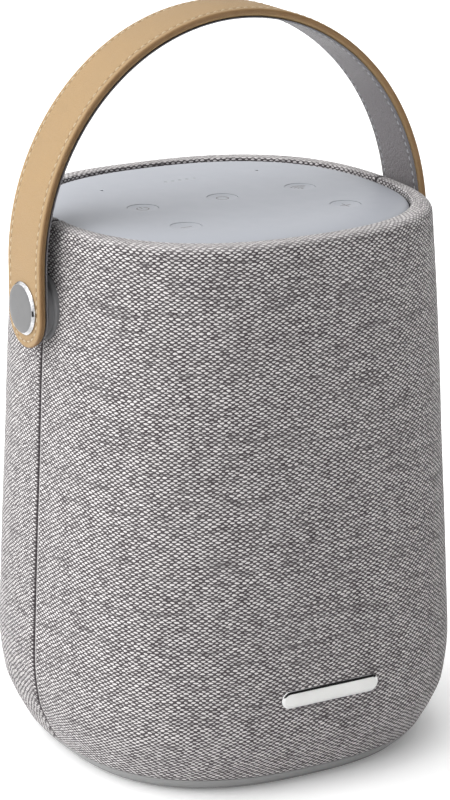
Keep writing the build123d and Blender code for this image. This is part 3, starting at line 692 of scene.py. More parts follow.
@dataclass(frozen=True)
class Moulded(Finish):
    """Moulded, painted or pressed surface in one colour with grain, mottling and dust."""

    colour: Colour = (0.2, 0.2, 0.2)
    roughness: float = 0.5
    metallic: float = 0.0
    grains: float = 3000.0
    relief: float = 0.02
    mottle: float = 0.08
    dust: float = 0.04
    coat: float = 0.0
    specular: float = 0.5
    glow: float = 0.0

    def wire(self, w: Wires) -> dict[str, Value]:
        """Grain from the shared group, with dust that lightens and dulls the top faces."""
        at = w.place_on_object()
        grain = w.effect(Effects.fine_grain, Place=at, Grains=self.grains)
        dust = w.effect(Effects.settled_dust, Place=at, Amount=self.dust)["Dust"]
        low = shade_of(self.colour, 1.0 - self.mottle)
        high = shade_of(self.colour, 1.0 + self.mottle)
        colour = w.mix(dust, w.mix(grain["Mottle"], low, high), DUST)
        rough = w.remap(grain["Mottle"], 0.2, 0.8, self.roughness - 0.05, self.roughness + 0.05)
        return {"Base Color": colour, "Roughness": w.math("ADD", rough, dust, clamp=True),
                "Metallic": self.metallic, "Coat Weight": self.coat, "Coat Roughness": 0.25,
                "Specular IOR Level": self.specular, "Emission Color": (1.0, 1.0, 1.0),
                "Emission Strength": self.glow, "Normal": w.bump(grain["Height"], self.relief)}


@dataclass(frozen=True)
class BrushedMetal(Finish):
    """Satin metal with fine lines; a polish attribute on the mesh marks bright edges."""

    colour: Colour = (0.62, 0.62, 0.63)
    roughness: float = 0.36
    lines: float = 9000.0
    polished: bool = True
    bright: Colour = (0.62, 0.62, 0.63)
    polished_roughness: float = 0.1
    relief: float = 0.004

    def wire(self, w: Wires) -> dict[str, Value]:
        """Scratch lines in relief and gloss, smoother where the edge is polished."""
        at = w.place_on_object()
        brush = w.effect(Effects.brushed_lines, Place=at, Lines=self.lines)
        rough = w.remap(brush["Gloss"], 0.25, 0.75, self.roughness - 0.05, self.roughness + 0.06)
        tone = w.mix(brush["Height"], shade_of(self.colour, 0.93), self.colour)
        if self.polished:
            edge = w.attribute("polish")
            bright = w.effect(Effects.handled_edge, Edge=edge, Place=at, Patches=900.0)["Worn"]
            gain = w.math("MULTIPLY", edge, self.roughness - self.polished_roughness)
            rough = w.math("SUBTRACT", rough, gain, clamp=True)
            tone = w.mix(bright, tone, self.bright)
        return {"Base Color": tone, "Metallic": 1.0, "Roughness": rough,
                "Normal": w.bump(brush["Height"], self.relief)}


@dataclass(frozen=True)
class Hide(Finish):
    """Strap leather or lining: pebbled grain, soft mottling, darker painted edges."""

    face: Colour = (0.34, 0.224, 0.108)
    edge: Colour = (0.20, 0.108, 0.040)
    grains: float = 1500.0
    relief: float = 0.05
    roughness: float = 0.55
    # Strength of the painted shade along the stitch line.
    punched: float = 0.6

    def wire(self, w: Wires) -> dict[str, Value]:
        """Grain in relief, edge paint from the edge attribute and rubbed patches along it, and painted
        shade along the stitch line.
        """
        at = w.place_on_object()
        grain = w.effect(Effects.fine_grain, Place=at, Grains=self.grains)
        pores = w.effect(Effects.fine_grain, Place=at, Grains=3.1 * self.grains)["Height"]
        edge = w.attribute("edge")
        worn = w.effect(Effects.handled_edge, Edge=edge, Place=at, Patches=260.0)["Worn"]
        tone = w.mix(grain["Mottle"], shade_of(self.face, 0.93), shade_of(self.face, 1.05))
        tone = w.mix(w.remap(pores, 0.2, 0.7, 0.16, 0.0), tone, self.edge)
        paint = w.math("MULTIPLY_ADD", worn, 0.25, w.math("MULTIPLY", edge, 0.7), clamp=True)
        # Painted shade: a darker line along the stitches, standing in for the shadow in the stitch holes
        # and groove.
        stitch_line_shade = w.math("MULTIPLY", w.attribute("stitch_line_shade"), self.punched)
        colour = w.mix(stitch_line_shade, w.mix(paint, tone, self.edge), shade_of(self.edge, 0.45))
        rough = w.remap(grain["Mottle"], 0.2, 0.8, self.roughness - 0.06, self.roughness + 0.06)
        height = w.math("MULTIPLY_ADD", pores, 0.5, grain["Height"])
        return {"Base Color": colour, "Roughness": rough, "Specular IOR Level": 0.4,
                "Normal": w.bump(height, self.relief)}


@dataclass(frozen=True)
class Twine(Finish):
    """Twisted sewing thread."""

    colour: Colour = (0.78, 0.73, 0.64)
    twists: float = 2600.0
    relief: float = 0.03

    def wire(self, w: Wires) -> dict[str, Value]:
        """Slanted strands from a wave, with uneven colour."""
        at = w.place_on_object()
        inputs = {"Vector": at, "Scale": self.twists, "Distortion": 1.5, "Detail": 1.0}
        strands = w.node("TexWave", inputs, bands_direction="DIAGONAL").outputs["Fac"]
        shade = w.math("MULTIPLY_ADD", w.noise(at, 900.0, 3.0, 0.6), 0.5,
                       w.math("MULTIPLY", strands, 0.3))
        return {"Base Color": w.mix(shade, shade_of(self.colour, 0.7), self.colour),
                "Roughness": 0.75, "Sheen Weight": 0.2, "Normal": w.bump(strands, self.relief)}


@dataclass(frozen=True)
class Laminate(Finish):
    """Circuit board: solder mask over copper tracks."""

    mask: Colour = (0.02, 0.09, 0.05)
    track: Colour = (0.05, 0.17, 0.09)
    relief: float = 0.02

    def wire(self, w: Wires) -> dict[str, Value]:
        """Tracks from a square-celled pattern, with the mask's gloss."""
        at = w.place_on_object()
        bricks = w.node("TexBrick", {"Vector": at, "Scale": 190.0, "Mortar Size": 0.06,
                                     "Color1": self.mask, "Color2": shade_of(self.mask, 1.2),
                                     "Mortar": self.track}).outputs
        grain = w.effect(Effects.fine_grain, Place=at, Grains=4000.0)
        height = w.math("MULTIPLY_ADD", grain["Height"], 0.2, bricks["Fac"])
        return {"Base Color": bricks["Color"],
                "Roughness": w.remap(grain["Mottle"], 0.2, 0.8, 0.26, 0.38),
                "Normal": w.bump(height, self.relief)}


KNIT = Cloth("heathered_cloth")
PANEL_COAT = Moulded("blue_gray_coat", colour=(0.36, 0.375, 0.412), roughness=0.42, grains=2600.0,
                     relief=0.006, mottle=0.03, dust=0.02)
ICON_INK = Moulded("icon_ink", colour=(0.12, 0.105, 0.10), roughness=0.5, relief=0.002, dust=0.0)
BASE_COAT = Moulded("base_coat", colour=(0.235, 0.235, 0.235), roughness=0.5, relief=0.01,
                    mottle=0.05, dust=0.0)
BOSS_PLASTIC = Moulded("boss_plastic", colour=(0.018, 0.018, 0.021), roughness=0.55, specular=0.3,
                       relief=0.012, dust=0.02)
LEATHER = Hide("tan_hide", grains=1250.0, relief=0.14)
LINING = Hide("gray_hide", face=(0.175, 0.16, 0.167), edge=(0.19, 0.19, 0.205), grains=700.0,
              relief=0.5,
              roughness=0.45)
CREAM_THREAD = Twine("cream_twine", colour=(0.60, 0.48, 0.32))
GRAY_THREAD = Twine("gray_twine", colour=(0.48, 0.49, 0.51))
RIVET_METAL = BrushedMetal("satin_steel", colour=(0.185, 0.185, 0.187), roughness=0.34)
BADGE_METAL = BrushedMetal("satin_aluminium", colour=(0.60, 0.60, 0.59), roughness=0.4)

SLOT_FINISHES: dict[str, Finish] = {
    "knit": KNIT,
    "shell_plastic": Moulded("shell_plastic", colour=(0.03, 0.03, 0.032), roughness=0.6, relief=0.02),
    "base_plastic": BASE_COAT,
    "foot_rubber": Moulded("foot_rubber", colour=(0.035, 0.035, 0.037), roughness=0.78, relief=0.03),
    "screw_steel": BrushedMetal("screw_steel", colour=(0.45, 0.45, 0.46), roughness=0.3,
                                polished=False),
    "contact_gold": BrushedMetal("contact_gold", colour=(0.83, 0.62, 0.28), roughness=0.24,
                                 polished=False),
    "panel_coat": PANEL_COAT,
    "clear_plastic": Moulded("clear_plastic", colour=(0.40, 0.415, 0.45), roughness=0.4, relief=0.002),
    "circuit_board": Laminate("circuit_board"),
    "component_black": Moulded("component_black", colour=(0.02, 0.02, 0.022), roughness=0.4),
    "led_white": Moulded("led_white", colour=(0.75, 0.74, 0.66), roughness=0.35),
    "enclosure_plastic": Moulded("enclosure_plastic", colour=(0.035, 0.035, 0.037), roughness=0.55),
    "driver_steel": Moulded("driver_steel", colour=(0.22, 0.22, 0.23), roughness=0.38, metallic=0.9),
    "ferrite": Moulded("ferrite", colour=(0.035, 0.034, 0.036), roughness=0.5, grains=1800.0,
                       relief=0.05),
    "cone_paper": Moulded("cone_paper", colour=(0.05, 0.05, 0.052), roughness=0.82, grains=1400.0,
                          relief=0.08),
    "coil_copper": BrushedMetal("coil_copper", colour=(0.72, 0.36, 0.19), roughness=0.3,
                                polished=False),
    "surround_rubber": Moulded("surround_rubber", colour=(0.022, 0.022, 0.024), roughness=0.7),
    "spider_cloth": Moulded("spider_cloth", colour=(0.50, 0.30, 0.09), roughness=0.9,
                            grains=1600.0, relief=0.1),
    "dome_silk": Moulded("dome_silk", colour=(0.045, 0.045, 0.05), roughness=0.6, grains=2600.0,
                         relief=0.05),
    "battery_wrap": Moulded("battery_wrap", colour=(0.05, 0.16, 0.33), roughness=0.3, coat=0.3,
                            relief=0.01),
    "can_steel": BrushedMetal("can_steel", colour=(0.60, 0.60, 0.59), roughness=0.34, polished=False),
    "sink_aluminium": BrushedMetal("sink_aluminium", colour=(0.66, 0.67, 0.68), roughness=0.4,
                                   polished=False),
    "cable_film": Moulded("cable_film", colour=(0.46, 0.20, 0.03), roughness=0.3, coat=0.3,
                          relief=0.008),
    "badge_metal": BADGE_METAL,
    "boss_plastic": BOSS_PLASTIC,
    "rivet_metal": RIVET_METAL,
    "spring_steel": BrushedMetal("spring_steel", colour=(0.50, 0.50, 0.52), roughness=0.28,
                                 polished=False),
    "tan_leather": LEATHER,
    "gray_lining": LINING,
    "slider_plastic": Moulded("slider_plastic", colour=(0.30, 0.30, 0.31), roughness=0.5, relief=0.012),
}


# ---------------------------------------------------------------- the speaker's body


def smooth_curve(at: np.ndarray, places: np.ndarray, values: np.ndarray) -> np.ndarray:
    """Smooth curve through points that never overshoots: cubic pieces whose slope at each point
    is the harmonic mean of the slopes beside it.

    Args:
        at: Where the curve is wanted.
        places: Rising places of the points.
        values: Values at the points.

    Returns:
        Values at the wanted places.
    """
    gap = np.diff(places)
    slope = np.diff(values) / gap
    pair = slope[:-1] * slope[1:]
    inner = np.where(pair > 0, 2.0 * pair / np.where(pair > 0, slope[:-1] + slope[1:], 1.0), 0.0)
    tangent = np.concatenate([slope[:1], inner, slope[-1:]])
    k = np.clip(np.searchsorted(places, at) - 1, 0, len(gap) - 1)
    t = np.clip((at - places[k]) / gap[k], 0.0, 1.0)
    lift = values[k] * (1 + 2 * t) * (1 - t) ** 2 + values[k + 1] * t * t * (3 - 2 * t)
    return lift + gap[k] * (tangent[k] * t * (1 - t) ** 2 + tangent[k + 1] * t * t * (t - 1))


@dataclass(frozen=True)
class BodyShape:
    """Outline of the speaker: every level is a superellipse |x/a|^n + |y/b|^n = 1."""

    levels: tuple[float, ...] = (0.8, 2.9, 5.5, 9.0, 13.5, 21.5, 35.0, 53.0, 77.0, 101.0, 125.5,
                                 149.5, 166.0, 177.5)
    halves: tuple[float, ...] = (55.6, 59.0, 61.0, 63.0, 65.3, 68.2, 69.5, 68.85, 67.8, 66.6, 65.55,
                                 64.25, 63.2, 62.4)
    depth_share: float = 135.0 / 139.0
    squareness: float = 2.55
    panel_squareness: float = 2.4

    @property
    def top(self) -> float:
        """Level of the cloth rim."""
        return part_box("fabric_front")[1].z / MM

    @property
    def panel_half(self) -> tuple[float, float]:
        """Half width and half depth of the key panel."""
        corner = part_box("control_panel")[1]
        return corner.x / MM, corner.y / MM

    def half_at(self, level: np.ndarray) -> np.ndarray:
        """Half width at each level."""
        return smooth_curve(np.asarray(level, float), np.array(self.levels), np.array(self.halves))

    @staticmethod
    def reach(angle: np.ndarray, half_x: np.ndarray, half_y: np.ndarray,
              exponent: float) -> np.ndarray:
        """Distance from the middle to the outline at an angle: (|cos/a|^n + |sin/b|^n)^(-1/n).

        Args:
            angle: Angle from +X.
            half_x: Half width of the outline, a.
            half_y: Half depth of the outline, b.
            exponent: Squareness of the outline, n.

        Returns:
            The distances.
        """
        across, along = np.abs(np.cos(angle)) / half_x, np.abs(np.sin(angle)) / half_y
        return (across ** exponent + along ** exponent) ** (-1.0 / exponent)

    def body_reach(self, angle: np.ndarray, half: np.ndarray,
                   inset: np.ndarray | float = 0.0) -> np.ndarray:
        """Distance to the body's outline of that half width, moved inwards by inset."""
        return self.reach(angle, half - inset, half * self.depth_share - inset, self.squareness)

    def panel_reach(self, angle: np.ndarray, grow: np.ndarray | float = 0.0) -> np.ndarray:
        """Distance to the key panel's outline, grown outwards."""
        half_x, half_y = self.panel_half
        return self.reach(angle, half_x + grow, half_y + grow, self.panel_squareness)

    def front_at(self, x: np.ndarray, z: np.ndarray) -> np.ndarray:
        """Depth |y| of the body's surface in front of a point: b (1 - |x/a|^n)^(1/n).

        Args:
            x: Place across the body.
            z: Level.

        Returns:
            The depths.
        """
        half = self.half_at(z)
        left = np.maximum(1.0 - np.abs(x / half) ** self.squareness, 0.0)
        return half * self.depth_share * left ** (1.0 / self.squareness)

    def side_at(self, y: np.ndarray, z: np.ndarray) -> np.ndarray:
        """Half width |x| of the body's surface beside a point: a (1 - |y/b|^n)^(1/n).

        Args:
            y: Place along the body.
            z: Level.

        Returns:
            The half widths.
        """
        half = self.half_at(z)
        left = np.maximum(1.0 - np.abs(y / (half * self.depth_share)) ** self.squareness, 0.0)
        return half * left ** (1.0 / self.squareness)


SHAPE = BodyShape()


@dataclass
class ClothCover:
    """The two sewn cloth panels, rolled over the rim and under the hem."""

    thickness: float = 0.55
    hem_radius: float = 0.7
    rim_radius: float = 2.7
    lip_radius: float = 0.7
    lip_drop: float = 1.6
    panel_gap: float = 0.45
    seam_depth: float = 1.5
    seam_width: float = 0.55
    seam_puff: float = 0.22
    puff_place: float = 2.6
    puff_width: float = 1.4
    seam_crowding: float = 0.85
    columns: int = 210
    wall_step: float = 1.55
    wall_foot: float = 7.0
    parting: float = 0.03
    pivot_hole: float = 6.15
    port_gap: float = 0.2
    port_cut: tuple[float, float] = (50.0, 80.0)

    def _profile(self) -> dict[str, np.ndarray]:
        """Rows of the cover from the hem's inner edge, up the wall, over the rim and into the lip.

        Returns:
            Level, body half width, inset, share of the way to the panel and growth past the
            panel's outline, each an array over the rows.
        """
        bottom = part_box("fabric_front")[0].z / MM
        top = SHAPE.top
        hem = np.radians([105.0, 80.0, 55.0, 30.0])
        arc = np.radians(np.linspace(0.0, 90.0, 9))
        wall_low, wall_high = bottom + self.hem_radius, top - self.rim_radius
        wall = np.linspace(wall_low, wall_high, int((wall_high - wall_low) / self.wall_step))
        flat = np.array([0.25, 0.5, 0.75])
        lip = np.radians([0.0, 22.0, 45.0, 68.0, 90.0])
        drop = np.array([0.5, 1.0])
        count = [len(hem), len(wall), len(arc) - 1, len(flat), len(lip), len(drop)]
        total = sum(count)
        ends = np.cumsum(count)
        level, inset, share, grow = (np.zeros(total) for _ in range(4))
        level[:ends[0]] = bottom + self.hem_radius * (1.0 - np.sin(hem))
        inset[:ends[0]] = self.hem_radius * (1.0 - np.cos(hem))
        level[ends[0]:ends[1]] = wall
        level[ends[1]:ends[2]] = wall_high + self.rim_radius * np.sin(arc[1:])
        inset[ends[1]:ends[2]] = self.rim_radius * (1.0 - np.cos(arc[1:]))
        inset[ends[2]:] = self.rim_radius
        level[ends[2]:ends[3]] = top
        share[ends[2]:ends[3]] = flat
        share[ends[3]:] = 1.0
        level[ends[3]:ends[4]] = top - self.lip_radius * (1.0 - np.cos(lip))
        grow[ends[2]:ends[3]] = self.panel_gap + self.lip_radius
        grow[ends[3]:ends[4]] = self.panel_gap + self.lip_radius * (1.0 - np.sin(lip))
        level[ends[4]:] = top - self.lip_radius - self.lip_drop * drop
        grow[ends[4]:] = self.panel_gap
        half = SHAPE.half_at(np.minimum(level, wall_high))
        return {"level": level, "half": half, "inset": inset, "share": share, "grow": grow}

    def _spread(self) -> tuple[np.ndarray, np.ndarray]:
        """Angles and distances along half the outline, closer together towards the seams.

        Returns:
            Angle from the +X seam and signed distance from the panel's middle, in millimetres.
        """
        fine = np.linspace(0.0, np.pi, 4000)
        reach = SHAPE.body_reach(fine, np.max(SHAPE.halves))
        step = np.hypot(np.diff(reach * np.cos(fine)), np.diff(reach * np.sin(fine)))
        length = np.concatenate([[0.0], np.cumsum(step)])
        even = np.linspace(0.0, 1.0, self.columns)
        wave = np.sin(2.0 * np.pi * even) / (2.0 * np.pi)
        along = length[-1] * (even - self.seam_crowding * wave)
        return np.interp(along, length, fine), along - length[-1] / 2.0

    def _surface(self, half: Half) -> tuple[np.ndarray, np.ndarray, np.ndarray]:
        """Outer face of one panel.

        Args:
            half: Which panel.

        Returns:
            Points (rows, cols, 3), thread coordinates (rows, cols, 3) and the distance to the
            seam (rows, cols), below zero on the rear panel, in millimetres.
        """
        rows = self._profile()
        angle, across = self._spread()
        beside = np.max(np.abs(across)) - np.abs(across)
        column = {key: values[:, None] for key, values in rows.items()}
        outer = SHAPE.body_reach(angle[None, :], column["half"], column["inset"])
        inner = SHAPE.panel_reach(angle[None, :], column["grow"])
        reach = outer * (1.0 - column["share"]) + inner * column["share"]
        valley = self.seam_depth * np.exp(-(beside / self.seam_width) ** 1.5)
        puff = self.seam_puff * np.exp(-((beside - self.puff_place) / self.puff_width) ** 2)
        dip = (valley - puff)[None, :]
        on_wall = column["share"] < 0.01
        reach = reach - np.where(on_wall, dip, 0.0)
        level = column["level"] - np.where(on_wall, 0.0, dip)
        sign = half.value
        points = np.stack([reach * np.cos(angle), sign * (reach * np.sin(angle) + self.parting),
                           np.broadcast_to(level, reach.shape)], axis=-1)
        middle = points[:, self.columns // 2]
        climbed = np.concatenate([[0.0], np.cumsum(np.linalg.norm(np.diff(middle, axis=0), axis=1))])
        thread = np.stack([across[None, :] * (column["half"] - column["inset"]) / np.max(SHAPE.halves),
                           np.broadcast_to(climbed[:, None], reach.shape),
                           np.full(reach.shape, 5.0 * sign)], axis=-1)
        seam = np.broadcast_to(-sign * np.minimum(beside, 10.0)[None, :], reach.shape)
        return points, thread, seam

    def _inner(self, outer: np.ndarray, half: Half) -> np.ndarray:
        """Inner face: the outer face moved by the thickness along its inward normal.

        Args:
            outer: Points (rows, cols, 3) of the outer face.
            half: Which panel it is.

        Returns:
            Points (rows, cols, 3).
        """
        down, side = np.gradient(outer, axis=0), np.gradient(outer, axis=1)
        normal = np.cross(down, side) * half.value
        normal /= np.maximum(np.linalg.norm(normal, axis=-1, keepdims=True), 1e-9)
        outwards = np.sign(np.sum(normal * outer * [1, 1, 0], axis=(0, 1, 2)))
        return outer - outwards * normal * self.thickness

    @staticmethod
    def _area(surface: np.ndarray) -> float:
        """Area of a grid of points: each cell is half the cross product of its diagonals.

        Args:
            surface: Points (rows, cols, 3) in millimetres.

        Returns:
            The area in square metres.
        """
        down = surface[1:, 1:] - surface[:-1, :-1]
        up = surface[:-1, 1:] - surface[1:, :-1]
        return float(np.linalg.norm(np.cross(down, up), axis=-1).sum() / 2 * MM * MM)

    def _thread_on_wall(self, mesh: bpy.types.Mesh) -> None:
        """Works out the thread coordinates again for the wall of a cut panel, from each point's
        place: the distance round the outline from the panel's middle, and the height climbed.

        Args:
            mesh: The cut panel's mesh.
        """
        rows = self._profile()
        place_mm = np.zeros(len(mesh.vertices) * 3, np.float32)
        mesh.vertices.foreach_get("co", place_mm)
        place_mm = place_mm.reshape(-1, 3) / MM
        thread = np.zeros(len(mesh.vertices) * 3, np.float32)
        mesh.attributes["thread"].data.foreach_get("vector", thread)
        thread = thread.reshape(-1, 3)
        angle, across = self._spread()
        middle = SHAPE.body_reach(np.pi / 2, rows["half"], rows["inset"])
        climbed = np.concatenate([[0.0], np.cumsum(np.hypot(np.diff(middle), np.diff(rows["level"])))])
        wall_top = SHAPE.top - self.rim_radius - 0.5
        wall = (place_mm[:, 2] > self.wall_foot) & (place_mm[:, 2] < wall_top)
        turn = np.arctan2(np.abs(place_mm[:, 1]), place_mm[:, 0])
        share = SHAPE.half_at(place_mm[:, 2]) / np.max(SHAPE.halves)
        on_wall = (rows["share"] < 0.01) & (rows["inset"] < 1e-6)
        thread[wall, 0] = (np.interp(turn, angle, across) * share)[wall]
        thread[wall, 1] = np.interp(place_mm[:, 2], rows["level"][on_wall], climbed[on_wall])[wall]
        write_attribute(mesh, "thread", thread)

    def build(self) -> None:
        """Makes both panels, cuts the pivot holes and the port opening, and dresses them."""
        pivot = sum(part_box("rivet_left")[i].z for i in (0, 1)) / 2.0 / MM
        hole, out = self.pivot_hole, 90
        rod = turned([(0, -out), (hole, -out), (hole, out), (0, out)], (0, 0, pivot), "x", 48)
        low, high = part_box("port_bezel")
        port_half = (high.z - low.z) / 2 / MM
        ring = stadium((high.x - low.x) / 2 / MM - port_half,
                       np.array([0.0, 1.0, 1.0, 0.0]) * (port_half + self.port_gap), 64)
        depth = np.repeat(self.port_cut, 2)[:, None]
        port = np.stack([ring[..., 0], np.broadcast_to(depth, ring.shape[:2]),
                         ring[..., 1] + (high.z + low.z) / 2 / MM], axis=-1)
        for half, node in ((Half.FRONT, "fabric_front"), (Half.REAR, "fabric_rear")):
            outer, thread, seam = self._surface(half)
            points, quads = sheet_solid(outer, self._inner(outer, half))
            marks = {"thread": np.concatenate([thread, thread[::-1]]).reshape(-1, 3),
                     "seam": np.concatenate([seam, seam[::-1]]).ravel()}
            panel = make_piece("cloth_" + node.split("_")[1], points, quads, marks, 70.0)
            cutters = [rod] + ([rings_solid(port)] if half is Half.REAR else [])
            carve(panel, join_grids(cutters))
            self._thread_on_wall(panel.data)
            place(panel, Body.HOUSING, "knit", [node], KNIT)
            "grille_shell_" + node.split("_")[1]


@dataclass
class Base:
    """The gray base with its rounded band, a groove for the foot and the screw recesses."""

    edge_radius: float = 0.9
    groove_depth: float = 0.9
    slot_half: tuple[float, float] = (16.2, 3.2)
    screw_place: tuple[float, float] = (29.0, 27.0)
    screw_recess: float = 3.0
    recess_top: float = 3.0
    band_inset: float = 0.35
    foot_width: float = 7.2
    clearance: float = 0.1
    steps: int = 256

    def _rows(self) -> list[tuple[float, float]]:
        """Rows of the base, from the middle of its underside round the foot's groove and up the
        band to the middle of its top.

        Returns:
            Half width and level of each row.
        """
        low, high = (corner.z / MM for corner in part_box("base_tray"))
        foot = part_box("foot_ring")[1].x / MM + self.clearance
        band_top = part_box("fabric_front")[0].z / MM - self.clearance
        inner = foot - self.foot_width
        rows = [(0.0, low), (inner * 0.5, low), (inner, low), (inner, low + self.groove_depth),
                (foot, low + self.groove_depth), (foot, low)]
        edge_half = float(SHAPE.half_at(low + self.edge_radius)) - self.band_inset
        for degrees in (5, 25, 45, 65, 85):
            t = math.radians(degrees)
            rows.append((edge_half - self.edge_radius * (1 - math.sin(t)),
                         low + self.edge_radius * (1 - math.cos(t))))
        for level in np.linspace(low + self.edge_radius, band_top, 9):
            rows.append((float(SHAPE.half_at(level)) - self.band_inset, float(level)))
        return rows + [(rows[-1][0] - 2.0, band_top), (0.0, band_top)]

    def build(self) -> None:
        """Makes the base, cuts its recesses and dresses it."""
        rows = np.array(self._rows())
        angle = circle(self.steps)
        half = rows[:, :1]
        reach = SHAPE.body_reach(angle[None, :], np.maximum(half, 1e-6)) * (half > 0)
        rings = np.stack([reach * np.cos(angle), reach * np.sin(angle),
                          np.broadcast_to(rows[:, 1:], reach.shape)], axis=-1)
        base = make_piece("base", *rings_solid(rings))
        x, y = self.screw_place
        recess = [(0, -1), (self.screw_recess, -1), (self.screw_recess, self.recess_top),
                  (0, self.recess_top)]
        holes = [turned(recess, (side * x, end * y, 0), "z", 32)
                 for side in (-1, 1) for end in (-1, 1)]
        slot = np.array([(-1, -1), (1, -1), (1, 1), (-1, 1)]) * self.slot_half
        carve(base, join_grids(holes + [upright_prism(slot, -1.0, self.recess_top)]))
        place(base, Body.HOUSING, "base_plastic", ["base_tray"], BASE_COAT)


# ---------------------------------------------------------------- key panel


@dataclass
class KeyPanel:
    """The crowned key panel, with its key wells, microphone holes and light holes."""

    crown: tuple[tuple[float, float], ...] = ((0.0, -2.75), (0.12, -2.3), (0.35, -1.95), (0.8, -1.52),
                                              (1.5, -1.15), (2.6, -0.84), (4.2, -0.56), (5.8, -0.36),
                                              (7.6, -0.2), (9.6, -0.08), (12.0, 0.0))
    well_radius: float = 5.0
    mic_radius: float = 0.55
    mic_level: float = 27.0
    light_radius: float = 0.65
    light_pitch: float = 2.6
    light_count: int = 5
    over_keys: float = 2.4
    steps: int = 240

    def build(self, wells: Sequence[tuple[float, float]]) -> None:
        """Makes the panel.

        The crown is rings of the panel's outline drawn in by each inset and lifted by each
        height; inside them the face is level.

        Args:
            wells: Middles of the keys.
        """
        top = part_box("control_panel")[1].z / MM
        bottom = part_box("power_button")[0].z / MM + self.over_keys
        angle = circle(self.steps)
        outline = SHAPE.panel_reach(angle)
        rows = [(outline * 0.0, bottom), (outline * 0.97, bottom), (outline, bottom + 0.3)]
        rows += [(SHAPE.panel_reach(angle, -inset), top + height) for inset, height in self.crown]
        face = SHAPE.panel_reach(angle, -self.crown[-1][0])
        rows += [(face * share, top) for share in (0.8, 0.6, 0.4, 0.2, 0.0)]
        rings = np.stack([np.stack([reach * np.cos(angle), reach * np.sin(angle),
                                    np.full(self.steps, level)], axis=-1) for reach, level in rows])
        panel = make_piece("key_panel", *rings_solid(rings), sharp_angle=50.0)
        holes = [(x, y, self.well_radius, 64) for x, y in wells]
        pitch_x = max(x for x, _ in wells)
        holes += [(side * pitch_x, self.mic_level, self.mic_radius, 20) for side in (-1, 1)]
        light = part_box("light_guide")
        light_y = (light[0].y + light[1].y) / 2 / MM
        first = -(self.light_count - 1) / 2
        holes += [((first + i) * self.light_pitch, light_y, self.light_radius, 20)
                  for i in range(self.light_count)]
        under, over = bottom - 3, top + 3
        cutter = [turned([(0, under), (r, under), (r, over), (0, over)], (x, y, 0), "z", steps)
                  for x, y, r, steps in holes]
        carve(panel, join_grids(cutter))
        place(panel, Body.HOUSING, "panel_coat", ["control_panel"], PANEL_COAT)


class Icon(Enum):
    """What is printed on a key."""

    POWER = "power"
    RING = "ring"
    WAVES = "waves"
    MINUS = "minus"
    PLUS = "plus"


def arc_path(radius: float, start: float, end: float,
             centre: tuple[float, float] = (0.0, 0.0)) -> np.ndarray:
    """Points of an arc.

    Args:
        radius: Radius of the arc.
        start: Angle of its first point, in degrees from +X.
        end: Angle of its last point.
        centre: Middle of its circle.

    Returns:
        Array (n, 2).
    """
    t = np.radians(np.linspace(start, end, max(6, int(abs(end - start) / 9))))
    return np.stack([centre[0] + radius * np.cos(t), centre[1] + radius * np.sin(t)], axis=-1)


